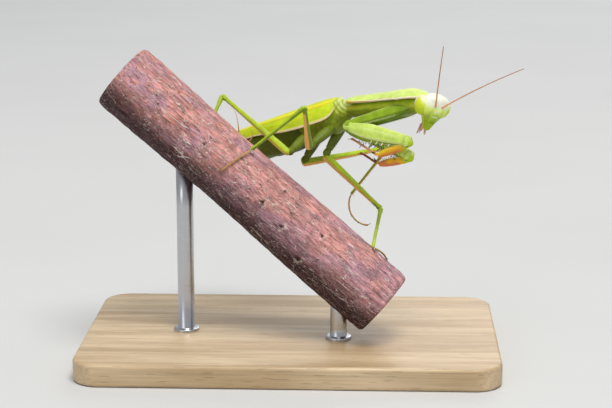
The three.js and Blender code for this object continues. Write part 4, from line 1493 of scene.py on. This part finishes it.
    def cercus(self, side: Side) -> Shell:
        """A tail feeler of short rings.

        Args:
            side: the side that it is on.

        Returns:
            The surface, in model millimetres.
        """
        s = np.linspace(0, 1, 120)
        joint = np.abs(np.cos(np.pi * self.cercus_joints * s)) ** 6
        radius = follow([[0, 0.32], [0.4, 0.4], [1, 0.14]], s)[0] * (1 - 0.2 * joint)
        shell = pipe(straight(self.cercus_length * s - 0.3), radius, 18, line=0.7 * joint).marked(up=0.6)
        root = (-self.pterothorax_length - self.abdomen_length + 2.6, side.value * 1.7, -0.2)
        aim = Aim(180 - side.value * self.cercus_spread, -6)
        return shell.placed(Place(root, aim)).placed(self.rear)

    def build(self) -> None:
        """Makes every piece of the trunk."""
        add_piece("neck_folds", [self.neck()], TRUNK_GREEN, Slot.GREEN, "neck")
        add_piece("front_thorax", [self.prothorax()], TRUNK_GREEN, Slot.GREEN, "prothorax")
        add_piece("pronotum_shield", [self.pronotum()], SHIELD_GREEN, Slot.SHIELD, "pronotum")
        add_piece("wing_thorax", [self.pterothorax()], TRUNK_GREEN, Slot.GREEN, "pterothorax")
        add_piece("abdomen_skin", [self.abdomen()], SHADED_BELLY_GREEN, Slot.GREEN, "abdomen")
        for side in Side:
            word = side.word
            add_piece(f"forewing_{word}", [self.tegmen(side)], WingFinish(), Slot.WING, f"tegmen_{word}")
            add_piece(f"tail_feeler_{word}", [self.cercus(side)], SHADED_BELLY_GREEN, Slot.GREEN, f"cercus_{word}")


# ---- Legs -------------------------------------------------------------------------


@dataclass(frozen=True)
class LegSizes:
    """Lengths of a leg's segments; the trochanter belongs to the coxa."""

    coxa: float
    femur: float
    tibia: float
    tarsus: float


def foot(length: float, radius: float, bend: float) -> Shell:
    """A foot of five segments that ends in two hooked claws, along +X and then bent.

    Formula: each segment widens to its far end and is pinched at the joint; the first takes 0.42 of the
    length and the last 0.22.

    Args:
        length: from its root to the claws' tips.
        radius: of its thickest segment.
        bend: degrees of its arc.

    Returns:
        The surface, with the mask "line" in its joints.
    """
    joints = np.array([0.0, 0.42, 0.6, 0.7, 0.78, 1.0])
    sole = length - 0.55
    s = np.linspace(0, 1, 150)
    i = np.clip(np.searchsorted(joints, s) - 1, 0, 4)
    within = (s - joints[i]) / (joints[i + 1] - joints[i])
    pinch = np.exp(-within * (joints[i + 1] - joints[i]) * 45) * (s > 0.03)
    thick = radius * (0.72 + 0.28 * within**2) * (1 - 0.35 * pinch)
    path = np.stack([sole * s - 0.2 * (1 - s), 0 * s, -0.06 * np.sin(2 * np.pi * s)], -1)
    parts = [pipe(path, thick, 14, line=pinch, up=0.6 - 0.8 * s)]
    t = np.linspace(0, 1, 16)
    for side in (-1, 1):
        hook = np.stack([sole - 0.15 + 0.72 * t, side * 0.3 * np.sin(1.9 * t), -0.05 - 0.4 * t**2.4], -1)
        parts.append(pipe(hook, radius * 0.55 * (1 - 0.93 * t), 8, tip=ease(0.3, 0.8, t)))
    return joined(parts).bent(length, bend)


@dataclass
class Leg(ABC):
    """A leg of four segments: coxa, femur, tibia and tarsus. Each starts where the one before it ends."""

    pair: str
    side: Side
    hip: Point
    sizes: LegSizes
    aims: tuple[Aim, Aim, Aim, Aim]

    @abstractmethod
    def segments(self) -> list[tuple[Shell, Cuticle, Slot]]:
        """Each segment's surface along +X, its finish and its slot, root to tip."""

    def build(self) -> None:
        """Makes the leg's four pieces, root to tip."""
        start = self.hip
        for size, aim, (shell, finish, slot) in zip(fields(self.sizes), self.aims, self.segments()):
            place = Place(start, aim)
            name = f"{self.pair}_{size.name}_{self.side.word}"
            add_piece(name.replace("mid", "middle") + "_skin", [shell.placed(place)], finish, slot, name)
            start = place.point(getattr(self.sizes, size.name))


@dataclass
class WalkingLeg(Leg):
    """A middle or hind leg."""

    curl: float
    blush_towards: float = -90.0
    blush_depth: float = 0.7

    def facing(self, up: Array, left: Array) -> Array:
        """How far a point of a segment faces the blushing side, from -1 to 1."""
        towards = math.radians(self.blush_towards)
        return left * math.cos(towards) + up * math.sin(towards)

    def coxa(self) -> Shell:
        """The stout root with three low ridges, and the trochanter, which swells beyond a groove.

        Returns:
            The surface, along +X of the segment's own frame.
        """
        radii = ((0, 0.75), (0.2, 0.92), (0.5, 0.84), (0.82, 0.64), (1, 0.7))
        stations = [[share, radius, radius, radius] for share, radius in radii]
        outline = Outline(self.sizes.coxa, stations, (1.15, 0.7), rings=80, around=40, reach=(0.5, 0.1))
        t, angle, _, _ = outline.grid()
        ridges = 0.07 * np.abs(np.cos(1.5 * angle)) ** 4 * bell(t, 0.4, 0.3)
        return outline.shell(ridges + bells(t, ((0.8, 0.02, -0.12), (0.9, 0.06, 0.05))))

    def femur(self) -> Shell:
        """The thigh: four faint edges, a groove below, one before the knee, and a spine at the knee.

        Returns:
            The surface, along +X of the segment's own frame.
        """
        stations = [
            [0, 0.62, 0.62, 0.62], [0.1, 0.66, 0.7, 0.66], [0.5, 0.46, 0.54, 0.52], [0.88, 0.36, 0.4, 0.4],
            [1, 0.5, 0.54, 0.5],
        ]
        length = self.sizes.femur
        outline = Outline(length, stations, (0.6, 0.5), rings=140, around=36, reach=(0.25, 0.1))
        t, angle, up, left = outline.grid()
        edges = 0.05 * np.abs(np.cos(2 * angle)) ** 3
        grooves = 0.1 * bell(np.mod(angle + np.pi / 2, 2 * np.pi), 0, 0.4) + 0.08 * bell(t, 0.93, 0.012)
        blush = self.blush_depth * ease(-0.2, 0.3, self.facing(up, left)) * ease(0.93, 0.82, t)
        knee = spine((length - 0.5, 0.3 * self.side.value, -0.25), (1, 0.3, -0.6), 0.55, 0.07)
        return joined([outline.shell(edges - grooves, blush=blush), knee])

    def tibia(self) -> Shell:
        """The shin: slender, with two sparse rows of small spines below and two spurs at its end.

        Returns:
            The surface, along +X of the segment's own frame.
        """
        stations = [
            [0, 0.42, 0.42, 0.42], [0.06, 0.44, 0.46, 0.42], [0.14, 0.33, 0.34, 0.33],
            [0.85, 0.26, 0.26, 0.26], [1, 0.32, 0.33, 0.32],
        ]
        length = self.sizes.tibia
        outline = Outline(length, stations, (0.4, 0.3), rings=120, around=30, reach=(0.15, 0.1))
        _, angle, up, left = outline.grid()
        edges = 0.03 * np.abs(np.cos(2 * angle)) ** 3
        parts = [outline.shell(edges, blush=0.45 * ease(0.2, 0.8, self.facing(up, left)))]
        for step, share in enumerate(np.arange(0.22, 0.95, 0.085)):
            side = 1 if step % 2 else -1
            root = (length * float(share), 0.17 * side, -0.17)
            parts.append(spine(root, (0.9, 0.5 * side, -0.9), 0.34, 0.05, dark=0.5))
        for side in (-1, 1):
            root = (length - 0.25, 0.2 * side, -0.15)
            parts.append(spine(root, (1, 0.3 * side, -0.5), 0.75, 0.07, dark=0.7))
        return joined(parts)

    def segments(self) -> list[tuple[Shell, Cuticle, Slot]]:
        """Each segment's surface along +X, its finish and its slot, root to tip."""
        return [
            (self.coxa(), SHADED_HIP_GREEN, Slot.GREEN), (self.femur(), LEG_GREEN, Slot.GREEN),
            (self.tibia(), LEG_GREEN, Slot.GREEN),
            (foot(self.sizes.tarsus, 0.2, self.curl), TAN_FOOT, Slot.FOOT),
        ]


@dataclass
class ForeLeg(Leg):
    """A raptorial foreleg, folded: the shin's teeth close against the spines under the thigh."""

    ruddy: float
    claw_length: float = 2.6

    def coxa(self) -> Shell:
        """The long coxa: three edges, one of them toothed, and a ringed spot on its inner face.

        Returns:
            The surface, along +X of the segment's own frame.
        """
        stations = [
            [0, 0.75, 0.85, 0.85], [0.1, 0.88, 1.05, 1.05], [0.25, 0.9, 1.25, 1.2], [0.7, 0.8, 1.0, 1.0],
            [0.88, 0.8, 0.9, 0.95], [1, 0.85, 1.0, 1.1],
        ]
        length, outer = self.sizes.coxa, -self.side.value
        outline = Outline(length, stations, (1.7, 0.9), rings=130, around=64, reach=(0.5, 0.1))
        t, _, up, left = outline.grid()
        across = outer * left
        edges = 0.12 * bell(up, 1.0, 0.12) + 0.1 * bell(up, -0.78, 0.07) * (across > 0)
        hollow = 0.1 * bell(up, 0.1, 0.35) * np.abs(across)
        relief = (edges - hollow) * between(0.02, 0.12, 0.84, 0.92, t) - 0.12 * bell(t, 0.875, 0.014)
        edge = bell(up, 0.97, 0.06) * between(0.03, 0.12, 0.85, 0.95, t)
        toothed = bell(up, -0.78, 0.05) * (across > 0) * between(0.1, 0.2, 0.82, 0.9, t)
        spot = np.hypot((t - 0.2) * length / 0.8, (up + 0.1) * 1.2 / 0.6) + 3 * (across > -0.2)
        masks = {
            "ridge": np.clip(0.75 * edge + 0.4 * toothed + ease(0.4, 0.25, spot), 0, 1),
            "tip": 0.9 * between(0.3, 0.45, 0.85, 1.0, spot),
            # painted shade: up darkens the underside and the root end, which lie in shade by the body, and
            # lightens the far end
            "up": 1.1 * ease(-0.75, -0.3, up) - 0.95 + 0.3 * ease(0.6, 0.95, t) - 0.3 * ease(0.2, 0.0, t),
        }
        parts = [outline.shell(relief, **masks)]
        for step, share in enumerate(np.linspace(0.16, 0.86, 30)):
            width, _, below = follow(stations, np.array([share]))[:, 0]
            root = (length * float(share), outer * 0.74 * float(width), -0.66 * float(below))
            parts.append(spine(root, (0.1, 0.75 * outer, -0.7), 0.26 if step % 4 else 0.34, 0.06, dark=1.3))
        return joined(parts)

    def femur(self) -> Shell:
        """The thick thigh: a grooved lower face between two edges that carry the spines, and knee lobes.

        Returns:
            The surface, along +X of the segment's own frame.
        """
        stations = [
            [0, 0.7, 0.8, 0.8], [0.12, 0.9, 1.15, 1.4], [0.36, 0.97, 1.4, 2.0], [0.7, 0.85, 1.2, 1.5],
            [0.9, 0.75, 1.0, 1.05], [1, 0.75, 1.0, 1.05],
        ]
        length, outer = self.sizes.femur, self.side.value
        outline = Outline(length, stations, (0.8, 0.9), rings=170, around=84, reach=(0.4, 0.0))
        t, _, up, left = outline.grid()
        across = outer * left
        flat = np.abs(across)
        groove = 0.34 * bell(across, 0, 0.35) * (up < 0) * ease(0.16, 0.36, t) * ease(0.97, 0.9, t)
        keels = 0.1 * bell(up, 1.0, 0.06) + 0.09 * bell(up, -0.42, 0.07) * (across > 0) * ease(0.06, 0.3, t)
        dents = 0.08 * bell(t, 0.9 + 0.02 * up, 0.014) * flat + 0.1 * bell(t, 0.075, 0.012)
        dents = dents + 0.05 * bell(up, 0.35, 0.2) * flat
        lobes = 0.24 * bell(t, 0.965, 0.035) * ease(0.35, 0.8, flat) + 0.1 * bell(t, 0.97, 0.03)
        edge_at = -0.42 - 0.2 * t
        edges = 0.85 * bell(up, edge_at, 0.07) * (across > 0) + 0.65 * bell(up, 0.98, 0.04)
        stripe = bell(up, 0.42, 0.1) * (across > 0) * between(0.2, 0.4, 0.75, 0.9, t)
        masks = {
            "ridge": np.clip(edges * ease(0.04, 0.2, t) + 0.5 * stripe, 0, 1),
            "up": 1.5 * ease(edge_at - 0.1, edge_at + 0.04, up) - 0.6 - 0.5 * ease(0.88, 0.96, t),
        }
        parts = [outline.shell(keels + lobes - groove - dents, **masks)]
        for share, reach in ((0.47, 0.95), (0.55, 1.0), (0.63, 0.95), (0.73, 0.8)):
            root = (length * share, 0.6 * outer, -1.1)
            parts.append(spine(root, (-0.1, 0.5 * outer, -1), reach, 0.1, 0.1, dark=0.74))
        for step in range(13):
            root = (length * (0.36 + 0.038 * step), -0.5 * outer, -1.15)
            reach = (1.15, 0.7)[step % 2] * (1 - 0.02 * step)
            parts.append(spine(root, (-0.1, -0.3 * outer, -1), reach, 0.1, 0.12, dark=0.4))
        for step, reach in enumerate((1.0, 2.1, 1.6, 1.1)):
            root = (length * (0.27 + 0.026 * step), outer * (0.15 - 0.13 * step), -1.2)
            parts.append(spine(root, (-0.05, 0.05 * outer, -1), reach, 0.13, 0.1, dark=0.6))
        for share in 0.5 + 0.02 * np.arange(22):
            depth = float(follow(stations, np.array([share]))[2, 0])
            for way in (-1, 1):
                root = (length * float(share), 0.46 * way, -0.83 * depth)
                parts.append(spine(root, (-0.1, 0.5 * way, -1), 0.26, 0.055, dark=0.6))
        return joined(parts)

    def claw(self) -> Shell:
        """The hooked end of the shin, dark towards its point.

        Returns:
            The surface, along +X of the segment's own frame.
        """
        s = np.linspace(0, 1, 40)
        path = arc_bend(straight(self.claw_length * s), self.claw_length, 45)
        shell = pipe(path, 0.33 * (1 - s) ** 0.7 + 0.015, 14, (0.0, 1.0, 0.0), tip=ease(0.3, 0.65, s))
        return shell.marked(up=0.5).placed(Place((self.sizes.tibia - 0.6, 0, 0.05), Aim(0, -35)))

    def tibia(self) -> Shell:
        """The shin: an upper edge, and two rows of teeth beside a groove that lengthen towards the claw.

        Returns:
            The surface, along +X of the segment's own frame.
        """
        stations = [
            [0, 0.55, 0.6, 0.6], [0.3, 0.55, 0.75, 0.7], [0.75, 0.52, 0.68, 0.65], [1, 0.4, 0.42, 0.45],
        ]
        length = self.sizes.tibia
        outline = Outline(length, stations, (0.5, 0.4), rings=90, around=48, reach=(0.35, 0.1))
        t, _, up, left = outline.grid()
        grooves = 0.16 * bell(left, 0, 0.35) * (up < 0) + 0.05 * bell(t, 0.12, 0.02)
        ruddy = np.clip(0.75 * ease(0.35, 0.85, up) + self.ruddy * ease(0.55, 0.9, t), 0, 1)
        masks = {"blush": ruddy * ease(0.2, 0.4, t), "ridge": ease(0.36, 0.14, t + 0.05 * up)}
        parts = [outline.shell(0.05 * bell(up, 1.0, 0.1) - grooves, **masks), self.claw()]
        for step in range(12):
            for way in (-1, 1):
                root = (length * (0.26 + 0.058 * step), 0.28 * way, -0.42)
                reach = 0.34 + 0.028 * step
                parts.append(spine(root, (0.5, 0.3 * way, -1), reach, 0.085, -0.1, dark=0.55))
        return joined(parts)

    def segments(self) -> list[tuple[Shell, Cuticle, Slot]]:
        """Each segment's surface along +X, its finish and its slot, root to tip."""
        tarsus = foot(self.sizes.tarsus, 0.25, 0).marked(blush=self.ruddy)
        return [
            (self.coxa(), COXA_GREEN, Slot.GREEN), (self.femur(), FORE_GREEN, Slot.GREEN),
            (self.tibia(), ORANGE, Slot.ORANGE), (tarsus, PINK_FOOT, Slot.FOOT),
        ]


FORE_SIZES = LegSizes(13.05, 15.0, 7.5, 7.5)
MIDDLE_SIZES = LegSizes(6.6, 14.0, 13.5, 7.2)
HIND_SIZES = LegSizes(6.6, 18.0, 16.6, 9.0)


def build_legs(trunk: Trunk) -> None:
    """Makes all six legs at the trunk's hips, each in its own pose.

    Args:
        trunk: the trunk that they grow from.
    """
    right, left = Side.RIGHT, Side.LEFT
    fore_right = (Aim(150.5, -18.7, 27), Aim(-40, -4, -10), Aim(145, -24, -169), Aim(135, 17))
    fore_left = (Aim(147, -20.4, 30), Aim(-52, -14, -22), Aim(140, -16, -158), Aim(119, 6))
    middle_right = (Aim(-131, -25), Aim(-92, 40), Aim(152, -38), Aim(-151, -29, -61))
    middle_left = (Aim(-160, -58), Aim(-5, -43), Aim(-96, -17), Aim(64, -33, 33))
    hind_right = (Aim(-123, -20), Aim(143, 29), Aim(-122, -51), Aim(170, 48, 152))
    hind_left = (Aim(-159, -58), Aim(30, 4), Aim(124, -42), Aim(-16, -57, 180))
    fore, middle, hind = trunk.hips()
    legs = (
        ForeLeg("fore", right, fore[right], FORE_SIZES, fore_right, ruddy=0.15),
        ForeLeg("fore", left, fore[left], FORE_SIZES, fore_left, ruddy=0.9),
        WalkingLeg("mid", right, middle[right], MIDDLE_SIZES, middle_right, 48, blush_towards=-160,
                   blush_depth=1.0),
        WalkingLeg("mid", left, middle[left], MIDDLE_SIZES, middle_left, 20),
        WalkingLeg("hind", right, hind[right], HIND_SIZES, hind_right, 6),
        WalkingLeg("hind", left, hind[left], HIND_SIZES, hind_left, 130),
    )
    for leg in legs:
        leg.build()


# ---- Perch and stand --------------------------------------------------------------


@dataclass
class Perch:
    """A cut length of branch that slopes down to the right, with knots, scars and two dry fibres."""

    place: Place = Place((-30.0, 0.3, 50.2), Aim(-8.5, -40))
    length: float = 61.5
    radius: float = 6.2
    scars: tuple[tuple[float, float, float], ...] = (
        (35.3, 128, 0.5), (33.6, 167, 0.75), (38.8, 177, 0.7), (45.2, 145, 0.6), (44.7, -159, 0.75),
        (19.4, 158, 0.5), (26, 40, 0.7), (50, 20, 0.7), (12, -30, 0.8), (41, -80, 0.7), (54, 95, 0.5),
    )

    def branch(self) -> Shell:
        """The branch: long low ridges and scars on a slightly wavy round, and flat ends rounded at the bark.

        Returns:
            The surface, in model millimetres.
        """
        span, around = 380, 150
        rim = np.array([0.0, 0.35, 0.7, 0.93, 0.965, 0.985, 0.997])
        ends = np.zeros(len(rim))
        x = np.concatenate([ends, np.linspace(0, self.length, span), ends + self.length])
        opened = np.concatenate([rim, np.ones(span), rim[::-1]])
        near_end = np.minimum(x, self.length - x)
        xg, ag = lattice(x, full_turn(around))
        t = xg / self.length
        radius = self.radius * (1 + 0.018 * np.sin(9 * t + 1) + 0.012 * np.sin(2 * ag + 5 * t))
        ridges = 0.05 * np.sin(23 * ag + 2.2 * np.sin(0.4 * xg))
        ridges = ridges + 0.04 * np.sin(41 * ag - 1.7 * np.sin(0.31 * xg + 1))
        ridges = ridges * (0.6 + 0.4 * np.sin(0.9 * xg + 3 * ag))
        ridges = ridges + 0.03 * np.sin(1.9 * xg + 7 * np.sin(3 * ag))
        scar_mask, hole_mask = np.zeros_like(xg), np.zeros_like(xg)
        for along, towards, size in self.scars:
            swing = np.angle(np.exp(1j * (ag - math.radians(towards)))) * self.radius
            turn = np.arctan2(swing, xg - along)
            ragged = 1 + 0.28 * np.sin(3 * turn + along) + 0.16 * np.sin(7 * turn + towards)
            away = np.hypot((xg - along) / 1.4, swing) * ragged
            ridges = ridges + 0.2 * bell(away, 0, size) - 0.5 * bell(away, 0, size * 0.32)
            hole_mask = np.maximum(hole_mask, 0.9 * ease(size * 0.5, size * 0.25, away))
            lip = bell(away, size * 0.75, size * 0.22) * ease(-0.7, 0.8, np.sin(turn + along))
            scar_mask = np.maximum(scar_mask, 0.8 * lip)
        radius = (radius + ridges - 0.35 * np.exp(-near_end[:, None] / 0.25)) * opened[:, None]
        grid = np.stack([xg, radius * np.cos(ag), radius * np.sin(ag)], -1)
        cut = (opened < 0.96).astype(float)[:, None] * np.ones_like(xg)
        masks = {
            # painted shade: up feeds the bark's dark underside and lighter top
            "up": 0.9 * np.sin(ag) + 0.12, "cut": cut, "ring": opened[:, None] * np.ones_like(xg),
            "scar": scar_mask * (1 - cut), "hole": hole_mask * (1 - cut),
            "rust": ease(36, 4, xg) * ease(-0.6, 0.3, np.sin(ag)),
        }
        return skin(grid, masks).placed(self.place)

    def fibres(self) -> list[Shell]:
        """Two dry curled fibres that stand on the branch's upper edge.

        Returns:
            Their surfaces, in model millimetres.
        """
        shells = []
        s = np.linspace(0, 1, 30)
        for along, lean, reach in ((22.2, -0.55, 3.4), (24.6, 0.05, 2.6)):
            wave = 0.22 * np.sin(5 * s + along)
            forward = along + lean * reach * s + 0.3 * wave - 0.45 * reach * s**2
            path = np.stack([forward, 1.7 + wave * 0.6, self.radius - 0.35 + reach * s * 0.75], -1)
            shells.append(pipe(path, 0.13 * (1 - 0.85 * s), 8, (0.0, 1.0, 0.0)).placed(self.place))
        return shells

    def build(self) -> None:
        """Makes the branch and its fibres."""
        add_piece("branch", [self.branch()], BarkFinish(grain=self.place.aim), Slot.BARK, "perch_branch")
        dry = Cuticle("dry_fibre", upper=(0.6, 0.32, 0.1), lower=(0.5, 0.25, 0.08), gloss=0.6, glow=0.05)
        add_piece("branch_fibres", self.fibres(), dry, Slot.BARK)


@dataclass
class Stand:
    """A bevelled base plate and two upright rods that end in the branch's underside."""

    perch: Perch
    size: Point = (74.0, 46.0, 4.0)
    corner: float = 5.0
    bevel: float = 0.6
    rod_radius: float = 1.5
    collar_radius: float = 2.3
    rod_places: tuple[float, float] = (14.5, 51.0)

    def base(self) -> Shell:
        """The plate: a rounded rectangle that shrinks by a quarter circle at its upper and lower edges.

        Formula: each ring is the rectangle inset by some amount, at some height; the insets follow a
        quarter circle at each edge and then run to the middle.

        Returns:
            The surface, in model millimetres.
        """
        turn = np.linspace(0, np.pi / 2, 9)
        b, height = self.bevel, self.size[2]
        arc_in, arc_up = b * (1 - np.sin(turn)), b * (1 - np.cos(turn))
        inset = np.concatenate([[b + 1.0, b + 0.05], arc_in, [0, 0], arc_in[::-1], [b + 0.05, b + 1.0]])
        level = np.concatenate([[0, 0], arc_up, [b + 0.05, height - b - 0.05], height - arc_up[::-1],
                                [height, height]])
        angle = full_turn(160)
        corner = (np.floor(angle / (np.pi / 2) + 1e-9) + 0.5) * np.pi / 2
        reach = self.corner - inset[:, None]
        x, y = (
            np.sign(wave(corner)) * (size / 2 - self.corner) + reach * wave(angle)
            for wave, size in ((np.cos, self.size[0]), (np.sin, self.size[1]))
        )
        rings = np.stack([x, y, np.broadcast_to(level[:, None], x.shape)], -1)
        low, high = (np.broadcast_to(np.array([0, 0, z]), (1, len(angle), 3)) for z in (0.0, height))
        return skin(np.concatenate([low, rings, high]))

    def rod(self, distance: float) -> Shell:
        """A rod from inside the base to just inside the bark, with a thin collar where it enters the base.

        Args:
            distance: its place along the branch, in millimetres.

        Returns:
            The surface, in model millimetres.
        """
        x, y, top = self.perch.place.point(distance)
        bark = self.perch.radius / math.cos(math.radians(self.perch.place.aim.climb))
        floor = self.size[2]
        stop = top - bark + 1.4
        wide, thin = self.collar_radius, self.rod_radius
        profile = np.array([
            [floor - 0.4, 0], [floor - 0.4, wide], [floor + 0.35, wide], [floor + 0.5, wide - 0.08],
            [floor + 0.55, wide - 0.2], [floor + 0.56, thin + 0.05], [floor + 0.62, thin],
            [stop, thin], [stop, 0],
        ])
        steps = [np.linspace(a, b, 5)[:-1] for a, b in zip(profile[:-1], profile[1:])]
        fine = np.concatenate([*steps, profile[-1:]])
        angle = full_turn(48)
        rings = np.stack([
            x + fine[:, 1, None] * np.cos(angle), y + fine[:, 1, None] * np.sin(angle),
            np.repeat(fine[:, 0, None], len(angle), 1)], -1)
        return skin(rings)

    def build(self) -> None:
        """Makes the base and the rods."""
        add_piece("base_plate", [self.base()], WoodFinish(), Slot.WOOD, "stand_base")
        for i, distance in enumerate(self.rod_places, 1):
            add_piece(f"upright_rod_{i}", [self.rod(distance)], SteelFinish(), Slot.STEEL, f"stand_rod_{i}")


# ---- Studio -----------------------------------------------------------------------


@dataclass
class Studio:
    """The camera, a pale floor and soft lights."""

    camera_at: Point = (15.0, -305.44, 96.09)
    look_at: Point = (3.0, -10.0, 29.5)
    lens: float = 103.0
    sensor_width: float = 36.0
    sky: Colour = (0.9, 0.94, 1.0)
    sky_strength: float = 0.45
    lit_point: Point = (0.0, 0.0, 35.0)
    light_side: float = 500.0
    lights: tuple[tuple[str, Point, float, Colour], ...] = (
        ("key", (150.0, -350.0, 1050.0), 10.0, (1.0, 0.98, 0.94)),
        ("fill", (-700.0, -800.0, 350.0), 1.2, (0.97, 0.99, 1.0)),
        ("rim", (200.0, 900.0, 600.0), 2.2, (1.0, 1.0, 1.0)),
    )

    def set_up(self, name: str, data: bpy.types.Camera | bpy.types.Light, at: Point,
               towards: Point) -> bpy.types.Object:
        """Puts a camera or a light into the scene.

        Args:
            name: its name.
            data: the camera or the light.
            at: where it is, in millimetres.
            towards: the place that it points to.

        Returns:
            The new object.
        """
        obj = bpy.data.objects.new(name, data)
        obj.location = Vector(at) * METRES_PER_MM
        obj.rotation_euler = (Vector(towards) - Vector(at)).to_track_quat("-Z", "Y").to_euler()
        bpy.context.scene.collection.objects.link(obj)
        return obj

    def build_camera(self) -> None:
        """A camera aimed at the middle of the model, without shift or depth of field."""
        camera = bpy.data.cameras.new("camera")
        camera.lens = self.lens
        camera.sensor_width = self.sensor_width
        camera.clip_start, camera.clip_end = 0.01, 20.0
        bpy.context.scene.camera = self.set_up("camera", camera, self.camera_at, self.look_at)

    def build_lights(self) -> None:
        """The soft square lights; a row of the field is a name, a place, watts and a colour."""
        for name, at, power, tone in self.lights:
            light = bpy.data.lights.new(name, "AREA")
            light.size = self.light_side * METRES_PER_MM
            light.energy, light.color = power, tone
            self.set_up(name, light, at, self.lit_point)

    def build_floor(self) -> None:
        """A wide sheet just under the base."""
        reach, sink = 1500.0, 0.02
        side = np.linspace(-reach, reach, 9)
        x, y = lattice(side, side)
        grid = np.stack([x, y, np.full_like(x, -sink)], -1)
        floor = make_object("floor", plate(grid, np.full(x.shape, 1.0)), FloorFinish())

    def build(self) -> None:
        """Makes the camera, the floor, the lights and the sky."""
        self.build_camera()
        self.build_floor()
        self.build_lights()
        world = bpy.data.worlds.new("studio_air")
        world.use_nodes = True
        background = world.node_tree.nodes["Background"]
        background.inputs["Color"].default_value = (*self.sky, 1.0)
        background.inputs["Strength"].default_value = self.sky_strength
        bpy.context.scene.world = world
        bpy.context.scene.view_settings.view_transform = "Standard"


def main() -> None:
    logging.basicConfig(level=logging.INFO, format="%(name)s: %(message)s", stream=sys.stdout)
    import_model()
    Studio().build()
    Head().build()
    trunk = Trunk()
    trunk.build()
    build_legs(trunk)
    perch = Perch()
    perch.build()
    Stand(perch).build()


if __name__ == "__main__":
    main()
